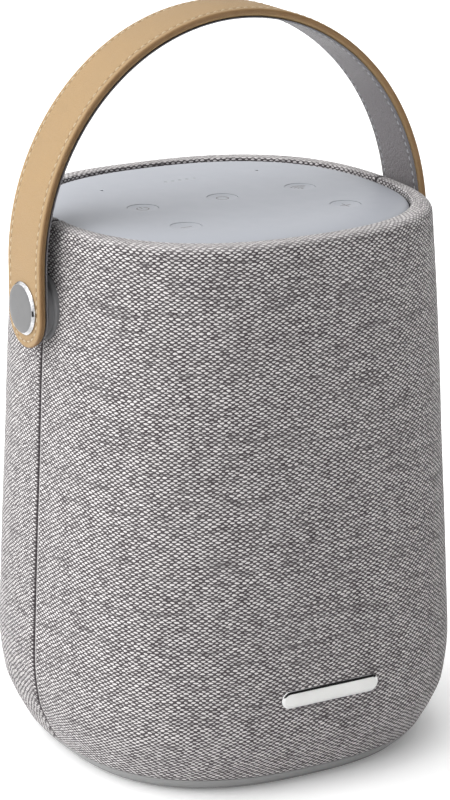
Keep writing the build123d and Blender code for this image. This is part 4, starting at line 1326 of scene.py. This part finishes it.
@dataclass
class Key:
    """One dished key and its printed icon."""

    node: str
    body: Body
    icon: Icon
    dish: float = 0.28
    lift: float = 0.25
    edge_radius: float = 0.12
    flange: float = 1.0
    stroke: float = 0.34
    proud: float = 0.012
    ink_depth: float = 0.05
    icon_half: float = 1.9
    stem_radius: float = 1.6
    stem_drop: float = 0.35
    flange_thickness: float = 0.9

    @property
    def middle(self) -> tuple[float, float]:
        """Middle of the key in the floor plane."""
        low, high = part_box(self.node)
        return (low.x + high.x) / 2 / MM, (low.y + high.y) / 2 / MM

    @property
    def radius(self) -> float:
        """Radius of the cap."""
        low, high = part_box(self.node)
        return (high.x - low.x) / 2 / MM - self.flange

    def _face(self, distance: np.ndarray) -> np.ndarray:
        """Level of the cap's face: a shallow bowl, deepest in the middle, as dish (1 - (r/R)^2).

        Args:
            distance: Distance from the key's middle, r.

        Returns:
            The levels.
        """
        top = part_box(self.node)[1].z / MM + self.lift
        share = distance / (self.radius - self.edge_radius)
        return top - self.dish * np.clip(1.0 - share ** 2, 0.0, 1.0)

    def _paths(self) -> list[np.ndarray]:
        """Middle lines of the icon's strokes, each an array (n, 2)."""
        bar = np.linspace(-1.0, 1.0, 5)[:, None]
        half = self.icon_half
        flat, tall = bar * [[half, 0.0]], bar * [[0.0, half]]
        shapes = {
            Icon.POWER: [arc_path(half, 122, 418), np.array([[0, 0.5], [0, 1.2], [0, 2.3]])],
            Icon.RING: [arc_path(half, 8, 352), arc_path(half, -8, 8)],
            Icon.WAVES: [arc_path(r, 45, 135, (0.0, -1.6)) for r in (1.5, 2.7, 3.9)]
            + [arc_path(0.25, 0, 330, (0.0, -1.5))],
            Icon.MINUS: [flat],
            Icon.PLUS: [flat, tall[:3] - [[0.0, 0.18]], tall[2:] + [[0.0, 0.18]]],
        }
        return shapes[self.icon]

    def _stroke(self, path: np.ndarray) -> tuple[np.ndarray, np.ndarray]:
        """A flat printed stroke: the path widened both ways, following the key's bowl.

        Args:
            path: The stroke's middle line, an array (n, 2) from the key's middle.

        Returns:
            Points and quads.
        """
        along = np.gradient(path, axis=0)
        along /= np.linalg.norm(along, axis=1, keepdims=True)
        side = np.stack([-along[:, 1], along[:, 0]], axis=-1) * self.stroke / 2
        flat = np.stack([path + side, path - side], axis=1)
        level = self._face(np.linalg.norm(flat, axis=-1))
        flat = flat + np.array(self.middle)
        upper = np.concatenate([flat, (level + self.proud)[..., None]], axis=-1)
        lower = np.concatenate([flat, (level - self.ink_depth)[..., None]], axis=-1)
        return sheet_solid(upper, lower)

    def build(self) -> None:
        """Makes the cap and its icon and dresses both."""
        low, high = (corner.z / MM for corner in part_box(self.node))
        under, r, wide = low + self.stem_drop, self.radius, self.radius + self.flange
        bowl = np.linspace(0.0, r - self.edge_radius, 9)
        profile = [(float(d), float(level)) for d, level in zip(bowl, self._face(bowl))]
        rim = high + self.lift
        profile += [(r - self.edge_radius * (1 - math.sin(t)),
                     rim - self.edge_radius * (1 - math.cos(t)))
                    for t in np.radians([25, 50, 75, 90])]
        profile += [(r, under + self.flange_thickness), (wide, under + self.flange_thickness),
                    (wide, under), (self.stem_radius, under), (self.stem_radius, low), (0.0, low)]
        cap = make_piece(self.node.replace("_button", "_key_cap"),
                         *turned(profile, (*self.middle, 0.0), "z", 72))
        place(cap, self.body, "panel_coat", [self.node], PANEL_COAT)
        strokes = join_grids(self._stroke(path) for path in self._paths())
        icon = make_piece(f"{self.icon.value}_icon", *strokes)
        place(icon, self.body, "panel_coat", [], ICON_INK)


KEYS = (Key("power_button", Body.POWER, Icon.POWER),
        Key("assistant_button", Body.ASSISTANT, Icon.RING),
        Key("wireless_button", Body.WIRELESS, Icon.WAVES),
        Key("volume_down_button", Body.VOLUME_DOWN, Icon.MINUS),
        Key("volume_up_button", Body.VOLUME_UP, Icon.PLUS))


@dataclass
class Badge:
    """The blank metal badge low on the front, with a bevelled rim."""

    bevel: float = 0.75
    sunk: float = 0.5
    proud: float = 0.9
    steps: int = 160

    def build(self) -> None:
        """Makes the badge: stadium rings drawn in towards the middle line, each lifted off the
        body's surface by its own amount."""
        low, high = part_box("badge")
        half_height, half_width = (high.z - low.z) / 2 / MM, (high.x - low.x) / 2 / MM
        proud = self.proud
        rows = [(0.0, -self.sunk), (half_height - 0.1, -self.sunk), (half_height, -self.sunk + 0.1),
                (half_height, 0.38), (half_height - 0.08, 0.5), (half_height - 0.25, 0.6),
                (half_height - self.bevel, proud - 0.05), (half_height - self.bevel - 0.15, proud),
                (half_height * 0.5, proud), (half_height * 0.25, proud), (0.0, proud)]
        radius = np.array([row[0] for row in rows])
        lift = np.array([row[1] for row in rows])[:, None]
        flat = stadium(half_width - half_height, radius, self.steps)
        x, z = flat[..., 0], flat[..., 1] + (high.z + low.z) / 2 / MM
        rings = np.stack([x, -(SHAPE.front_at(x, z) + lift), z], axis=-1)
        on_rim = (radius > half_height - self.bevel - 0.05) * 1.0
        polish = np.repeat(on_rim[:, None], self.steps, axis=1)
        points, quads = rings_solid(rings)
        badge = make_piece("badge_plate", points, quads, {"polish": polish.ravel()}, 35.0)
        place(badge, Body.HOUSING, "badge_metal", ["badge"], BADGE_METAL)


# ---------------------------------------------------------------- carry strap


@dataclass(frozen=True)
class StrapPath:
    """The strap's outer face: two upright legs joined by a half ellipse."""

    arch_level: float = 163.3
    half_width: float = 10.75

    @property
    def reach(self) -> float:
        """Distance of the legs' outer face from the middle."""
        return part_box("strap_leather")[1].x / MM

    @property
    def foot(self) -> float:
        """Level of the strap's rounded ends."""
        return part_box("strap_leather")[0].z / MM

    @property
    def rise(self) -> float:
        """Height of the arch over its springing."""
        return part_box("strap_leather")[1].z / MM - self.arch_level

    def _arch(self) -> tuple[np.ndarray, np.ndarray]:
        """Angles along the arch and the distance covered at each."""
        t = np.linspace(0.0, np.pi, 2000)
        step = np.hypot(np.diff(self.reach * np.cos(t)), np.diff(self.rise * np.sin(t)))
        return t, np.concatenate([[0.0], np.cumsum(step)])

    @property
    def length(self) -> float:
        """Length from one rounded end to the other, along the outer face."""
        return 2.0 * (self.arch_level - self.foot) + float(self._arch()[1][-1])

    def place(self, s: np.ndarray, y: np.ndarray, depth: np.ndarray) -> np.ndarray:
        """Points of the strap.

        On a leg the level grows with s; on the arch the point is (-(a - depth) cos t,
        (b - depth) sin t) over the springing, with t from the distance covered.

        Args:
            s: Distance from the left end along the outer face.
            y: Place across the strap.
            depth: Distance in from the outer face.

        Returns:
            Array of points with the arguments' shape and a last axis of 3.
        """
        s, y, depth = np.broadcast_arrays(s, y, depth)
        leg = self.arch_level - self.foot
        angles, covered = self._arch()
        t = np.interp(s - leg, covered, angles)
        x = -(self.reach - depth) * np.cos(t)
        z = self.arch_level + (self.rise - depth) * np.sin(t)
        on_left, on_right = s < leg, s > self.length - leg
        z = np.where(on_left, self.foot + s, np.where(on_right, self.foot + self.length - s, z))
        return np.stack([x, y, z], axis=-1)


@dataclass
class Strap:
    """Leather face, lining and the rows of stitches that join them."""

    path: StrapPath = field(default_factory=StrapPath)
    leather: float = 2.85
    edge_radius: float = 0.75
    lining_inset: float = 0.4
    lining_edge: float = 0.4
    total: float = 3.3
    stitch_inset: float = 2.1
    stitch_pitch: float = 2.7
    stitch_length: float = 2.15
    thread_radius: float = 0.26
    stitch_bow: float = 0.26
    stitch_slant: float = 0.14
    groove: float = 0.16
    groove_width: float = 0.32
    plump: float = 0.10
    plump_width: float = 2.2
    edge_places: tuple[float, ...] = (0.0, 0.04, 0.14, 0.3, 0.55, 0.85, 1.15, 1.45, 1.75, 1.95, 2.1,
                                      2.25, 2.5, 2.9, 3.6, 4.8, 6.5, 8.5)

    def _grid(self, half_width: float, trim: float) -> tuple[np.ndarray, np.ndarray, np.ndarray]:
        """Grid over the flat strap with round ends, closer together near its edges.

        Args:
            half_width: Half the width of this layer.
            trim: Distance that this layer stops short of the leather's end.

        Returns:
            Distance along, place across, and distance in from the layer's edge, each (rows, cols).
        """
        length = self.path.length - 2 * trim
        cap = half_width * (1.0 - np.cos(np.radians(np.linspace(0.0, 90.0, 30))))
        leg = np.linspace(half_width, self.path.arch_level - self.path.foot, 12)[1:]
        arch = np.linspace(leg[-1], length - leg[-1], 170)[1:-1]
        along = np.concatenate([cap, leg, arch, (length - leg)[::-1], (length - cap)[::-1]])
        share = 1.0 - np.array(self.edge_places) / half_width
        share = np.concatenate([-share, [0.0], share[::-1]])
        into_cap = np.maximum(half_width - np.minimum(along, length - along), 0.0)
        width = np.sqrt(np.maximum(half_width ** 2 - into_cap ** 2, 0.0))
        across = width[:, None] * share[None, :]
        distance = np.maximum(half_width - np.hypot(into_cap[:, None], across), 0.0)
        return np.broadcast_to(along[:, None], across.shape) + trim, across, distance

    @staticmethod
    def _rounding(distance: np.ndarray, radius: float) -> np.ndarray:
        """How far a rounded edge falls away: r (1 - sqrt(1 - (1 - d/r)^2)) within r of the edge.

        Args:
            distance: Distance from the edge, d.
            radius: Radius of the rounding, r.

        Returns:
            The fall at each point.
        """
        t = 1.0 - np.clip(distance / radius, 0.0, 1.0)
        return radius * (1.0 - np.sqrt(1.0 - t * t))

    def _layer(self, name: str, half_width: float, trim: float, outer: tuple[float, float],
               inner: tuple[float, float], grooved: tuple[bool, bool]) -> bpy.types.Object:
        """One layer of the strap.

        Args:
            name: Name of the piece.
            half_width: Half its width.
            trim: How far it stops short of the leather's end.
            outer: Depth of its outer face and the rounding there.
            inner: Depth of its inner face and the rounding there.
            grooved: Whether the outer and the inner face sink along the stitches.

        Returns:
            The piece.
        """
        along, across, distance = self._grid(half_width, trim)
        off_line = distance + trim - self.stitch_inset
        sink = self.groove * np.exp(-(off_line / self.groove_width) ** 2)
        plump = self.plump * np.exp(-(distance / self.plump_width) ** 2)
        outer_depth = outer[0] + self._rounding(distance, outer[1]) + grooved[0] * (sink + plump)
        inner_depth = inner[0] - self._rounding(distance, inner[1]) - grooved[1] * (sink + plump)
        edge = np.clip(1.25 - distance / 0.4, 0.0, 1.0)
        # Mask for the painted shade along the stitch line, darkest on the line.
        stitch_line_shade = np.exp(-(off_line / 0.22) ** 2)
        points, quads = sheet_solid(self.path.place(along, across, outer_depth),
                                    self.path.place(along, across, inner_depth))
        marks = {"edge": np.concatenate([edge, edge[::-1]]).ravel(),
                 "stitch_line_shade": np.concatenate([stitch_line_shade * grooved[0], stitch_line_shade[::-1] * grooved[1]]).ravel()}
        return make_piece(name, points, quads, marks, 80.0)

    def _stitches(self, name: str, depth: float, outwards: float) -> bpy.types.Object:
        """A row of stitches round the strap, each a short thread that bows out of its two holes.

        The row's line is a stadium in the flat strap. A point of a stitch is its place along
        the line, off to the side by its radius times cos(turn), and off the face by the bow,
        sin(pi t), plus its radius times sin(turn); the radius swells as the root of the bow.

        Args:
            name: Name of the piece.
            depth: Depth of the strap's face that it lies on.
            outwards: +1 on the outer face, -1 on the inner face.

        Returns:
            The piece.
        """
        reach = self.path.half_width - self.stitch_inset
        straight = self.path.length - 2 * self.path.half_width
        bend = np.pi * reach
        loop = 2 * straight + 2 * bend
        count = int(loop / self.stitch_pitch)
        middle = np.arange(count)[:, None, None] * loop / count
        t = np.linspace(0.0, 1.0, 6)[None, :, None]
        turn = circle(6)[None, None, :]
        bow = np.sin(np.pi * t)
        swell = np.sqrt(np.clip(bow + 0.02, 0.0, 1.0)) * np.where((t == 0) | (t == 1), 0.0, 1.0)
        size = self.thread_radius * swell
        at = (middle + (t - 0.5) * self.stitch_length) % loop
        aside = size * np.cos(turn) + self.stitch_slant * (t - 0.5)
        s, y = self._loop_point(at, aside, reach, straight, bend)
        lift = outwards * (self.stitch_bow * bow - self.groove + size * np.sin(turn))
        points = self.path.place(s, y, depth - lift)
        rows, cols = points.shape[1:3]
        quads = grid_quads(rows, cols, False, True)
        every = (quads[None] + np.arange(count)[:, None, None] * rows * cols).reshape(-1, 4)
        return make_piece(name, points.reshape(-1, 3), every, None, 80.0)

    def _loop_point(self, at: np.ndarray, aside: np.ndarray, reach: float, straight: float,
                    bend: float) -> tuple[np.ndarray, np.ndarray]:
        """Flat place of a point on the stitch line: up one side, round the far end, back down the
        other side and round the near end.

        Args:
            at: Distance along the line.
            aside: Distance off the line, outwards.
            reach: Distance of the line from the strap's middle.
            straight: Length of each straight run.
            bend: Length of each end's half circle.

        Returns:
            Distance along the strap and place across it.
        """
        at, aside = np.broadcast_arrays(at, aside)
        half_width, total = self.path.half_width, self.path.length
        far = (at - straight) / reach
        near = (at - 2 * straight - bend) / reach
        wide = reach + aside
        cases = [at < straight, at < straight + bend, at < 2 * straight + bend]
        s = np.select(cases, [half_width + at, total - half_width + wide * np.sin(far),
                              total - half_width - (at - straight - bend)],
                      half_width - wide * np.sin(near))
        y = np.select(cases, [-wide, -wide * np.cos(far), wide], wide * np.cos(near))
        return s, y

    def build(self) -> None:
        """Makes the layers and stitches and dresses them."""
        half_width = self.path.half_width
        face = self._layer("strap_face", half_width, 0.0, (0.0, self.edge_radius),
                           (self.leather, self.leather - self.edge_radius - 0.02), (True, False))
        place(face, Body.HANDLE, "tan_leather", ["strap_leather"], LEATHER)
        lining = self._layer("strap_inner_lining", half_width - self.lining_inset, self.lining_inset,
                             (self.leather + 0.02, 0.2), (self.total, self.lining_edge), (False, True))
        place(lining, Body.HANDLE, "gray_lining", ["strap_lining"], LINING)
        seat = self.groove + 0.06
        place(self._stitches("face_stitches", seat, 1.0), Body.HANDLE, "tan_leather", [], CREAM_THREAD)
        place(self._stitches("lining_stitches", self.total - seat, -1.0), Body.HANDLE, "gray_lining",
              [], GRAY_THREAD)


@dataclass
class Pivot:
    """A satin rivet with a polished chamfer, and the dark boss behind the strap."""

    side: Side
    chamfer: float = 0.75
    head_base: float = 70.82
    pin_radius: float = 3.0
    boss_radius: float = 9.4
    collar_radius: float = 10.8
    collar_face: float = 65.2
    stem_radius: float = 6.0
    steps: int = 96

    def _centre(self) -> tuple[float, float, float]:
        """Where the pivot's line crosses the middle plane."""
        low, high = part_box(f"rivet_{self.side.name.lower()}")
        return 0.0, 0.0, (low.z + high.z) / 2 / MM

    def _rivet(self) -> bpy.types.Object:
        """Turned rivet: a faintly domed disc, a polished chamfer, the rim and the pin.

        Returns:
            The piece.
        """
        low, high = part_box(f"rivet_{self.side.name.lower()}")
        far, near = sorted((abs(low.x), abs(high.x)), reverse=True)
        face, tip = far / MM, near / MM
        r = (high.z - low.z) / 2 / MM
        flat = r - self.chamfer
        pin, base = self.pin_radius, self.head_base
        profile = [(0, face), (flat * 0.4, face - 0.01), (flat * 0.75, face - 0.03),
                   (flat - 0.15, face - 0.06), (flat, face - 0.1), (r - 0.1, face - 0.72),
                   (r, face - 0.84), (r, base + 0.05), (r - 0.1, base), (pin, base), (pin, tip + 0.3),
                   (pin - 0.3, tip), (0, tip)]
        polish = np.repeat([0, 0, 0, 0, 1, 1, 1, 1, 0, 0, 0, 0, 0], self.steps).astype(float)
        axis = "x" if self.side is Side.RIGHT else "-x"
        points, quads = turned(profile, self._centre(), axis, self.steps)
        name = f"rivet_cap_{self.side.name.lower()}"
        return make_piece(name, points, quads, {"polish": polish}, 24.0)

    def _boss(self) -> bpy.types.Object:
        """Turned boss with a collar whose underside follows the cloth.

        Returns:
            The piece.
        """
        low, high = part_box(f"pivot_boss_{self.side.name.lower()}")
        far, near = sorted((abs(low.x), abs(high.x)), reverse=True)
        face, end = far / MM, near / MM
        hole = self.pin_radius + 0.05
        boss, collar, level, stem = (self.boss_radius, self.collar_radius, self.collar_face,
                                     self.stem_radius)
        profile = [(hole, face), (boss - 0.5, face), (boss - 0.15, face - 0.15), (boss, face - 0.5),
                   (boss, level + 0.15), (boss + 0.15, level), (collar - 0.35, level - 0.1),
                   (collar, level - 0.4), (collar, -1.0), (stem, -1.0), (stem, end), (hole, end)]
        points, quads = turned(profile, self._centre(), "x", self.steps, wrap_rows=True)
        on_cloth = points[:, 0] < 0
        points[on_cloth, 0] = SHAPE.side_at(points[on_cloth, 1], points[on_cloth, 2]) - 0.25
        points[:, 0] *= self.side.value
        return make_piece(f"pivot_collar_{self.side.name.lower()}", points, quads, None, 35.0)

    def build(self) -> None:
        """Makes the rivet and the boss and dresses them."""
        name = self.side.name.lower()
        place(self._rivet(), Body.HANDLE, "rivet_metal", [f"rivet_{name}"], RIVET_METAL)
        place(self._boss(), Body.HOUSING, "boss_plastic", [f"pivot_boss_{name}"], BOSS_PLASTIC)


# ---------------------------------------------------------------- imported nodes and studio


@dataclass
class PackedNodes:
    """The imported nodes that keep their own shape: inner parts, foot, port and screws."""

    def build(self) -> None:
        """Gives each node the finish of its slot."""
        for name, node in sorted(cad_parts.items()):
            slot = node.data.materials[0].name.split(".")[0] if node.data.materials else ""
            finish = SLOT_FINISHES.get(slot)
            if finish is None:
                LOG.warning("node %s has no finish for slot %r", name, slot)
                continue
            for i in range(len(node.data.materials)):
                node.data.materials[i] = finish.material()
            LOG.info("node %s takes %s", name, finish.name)


@dataclass(frozen=True)
class SoftLight:
    """A soft box: where it hangs, what it faces, its size and its power."""

    name: str
    place: tuple[float, float, float]
    aim: tuple[float, float, float]
    size: tuple[float, float]
    power: float
    colour: Colour = (1.0, 1.0, 1.0)

    def build(self) -> None:
        """Hangs the light."""
        data = bpy.data.lights.new(self.name, "AREA")
        data.shape, data.size, data.size_y = "RECTANGLE", *self.size
        data.energy, data.color = self.power, self.colour
        lamp = bpy.data.objects.new(self.name, data)
        lamp.location = self.place
        sight = Vector(self.aim) - Vector(self.place)
        lamp.rotation_euler = sight.to_track_quat("-Z", "Y").to_euler()
        bpy.context.scene.collection.objects.link(lamp)


@dataclass
class Studio:
    """Pale floor, soft light and the camera."""

    azimuth: float = -30.096
    elevation: float = 16.878
    distance: float = 1.06733
    target_level: float = 0.11076
    lens: float = 149.29
    shift: float = 0.0032
    floor_half: float = 6.0
    sky: tuple[float, float] = (0.02, 1.9)
    overhead: float = 1.15
    bright_side: tuple[float, float, float] = (-0.85, 0.25, 0.5)
    lights: tuple[SoftLight, ...] = (
        SoftLight("key_box", (-1.25, 0.05, 0.6), (0.0, 0.0, 0.10), (0.8, 1.1), 5.0),
        SoftLight("top_box", (-0.15, 0.35, 1.6), (0.0, 0.0, 0.1), (1.6, 1.2), 3.0),
        SoftLight("rear_box", (0.85, 1.47, 0.72), (0.0, 0.0, 0.16), (1.7, 0.9), 4.2),
    )
    flag_place: tuple[float, float] = (-0.385, -0.115)
    flag_size: tuple[float, float] = (0.06, 0.12)

    def _camera(self) -> None:
        """Sets the camera from its angles, looking at the speaker's middle."""
        az, el = math.radians(self.azimuth), math.radians(self.elevation)
        back = Vector((math.sin(az) * math.cos(el), -math.cos(az) * math.cos(el), math.sin(el)))
        right = Vector((math.cos(az), math.sin(az), 0.0))
        turn = Matrix((right, back.cross(right), back)).transposed()
        data = bpy.data.cameras.new("camera")
        data.lens, data.sensor_width, data.shift_x = self.lens, 36.0, self.shift
        data.clip_end = 50.0
        camera = bpy.data.objects.new("camera", data)
        spot = Vector((0.0, 0.0, self.target_level)) + back * self.distance
        camera.matrix_world = Matrix.Translation(spot) @ turn.to_4x4()
        bpy.context.scene.collection.objects.link(camera)
        bpy.context.scene.camera = camera

    def _floor(self) -> None:
        """Lays the floor."""
        edge = np.linspace(-self.floor_half, self.floor_half, 3) / MM
        x, y = np.meshgrid(edge, edge, indexing="ij")
        points = np.stack([x, y, np.zeros_like(x)], axis=-1).reshape(-1, 3)
        floor = make_piece("floor", points, grid_quads(3, 3)[:, ::-1])
        paper = Moulded("studio_paper", colour=(0.97, 0.97, 0.97), roughness=0.9, relief=0.0, mottle=0.0,
                        dust=0.0, specular=0.1, glow=0.16)
        floor.data.materials.append(paper.material())

    def _flag(self) -> None:
        """Stands a small dark card to the left, seen only in reflections, which gives the bright
        metal edges their dark accent."""
        x, y = self.flag_place
        half, height = self.flag_size
        aside = Vector((-y, x, 0.0)).normalized() * half
        flat = np.array([[x - aside.x, y - aside.y], [x + aside.x, y + aside.y],
                         [x + aside.x + 0.002, y + aside.y - 0.004],
                         [x - aside.x + 0.002, y - aside.y - 0.004]])
        card = make_piece("dark_card", *upright_prism(flat / MM, 2.0, height / MM))
        black = Moulded("black_card", colour=(0.01, 0.01, 0.01), roughness=0.9)
        card.data.materials.append(black.material())
        card.visible_camera = card.visible_diffuse = card.visible_shadow = False

    def build(self) -> None:
        """Sets the whole studio."""
        world = bpy.data.worlds.new("studio")
        world.use_nodes = True
        wires = Wires(world.node_tree)
        toward = wires.node("NewGeometry").outputs["Position"]
        bright_side = Vector(self.bright_side).normalized()
        facing = wires.node("VectorMath", {0: toward, 1: tuple(bright_side)}, operation="DOT_PRODUCT")
        dim, bright = self.sky
        level = wires.split(toward)[2]
        side = wires.remap(facing.outputs["Value"], 0.0, 0.95, dim, bright)
        strength = wires.math("ADD", side, wires.remap(level, 0.55, 1.0, 0.0, self.overhead))
        wires.feed(world.node_tree.nodes["Background"].inputs["Strength"], strength)
        world.node_tree.nodes["Background"].inputs["Color"].default_value = (1.0, 1.0, 1.0, 1.0)
        bpy.context.scene.world = world
        bpy.context.scene.view_settings.view_transform = "Standard"
        self._camera()
        self._floor()
        self._flag()
        for light in self.lights:
            light.build()


def main() -> None:
    """Builds the studio and every sub-assembly in order."""
    logging.basicConfig(level=logging.INFO, format="%(name)s: %(message)s")
    Studio().build()
    PackedNodes().build()
    ClothCover().build()
    Base().build()
    KeyPanel().build([key.middle for key in KEYS])
    for key in KEYS:
        key.build()
    Badge().build()
    Strap().build()
    for side in Side:
        Pivot(side).build()


if __name__ == "__main__":
    main()
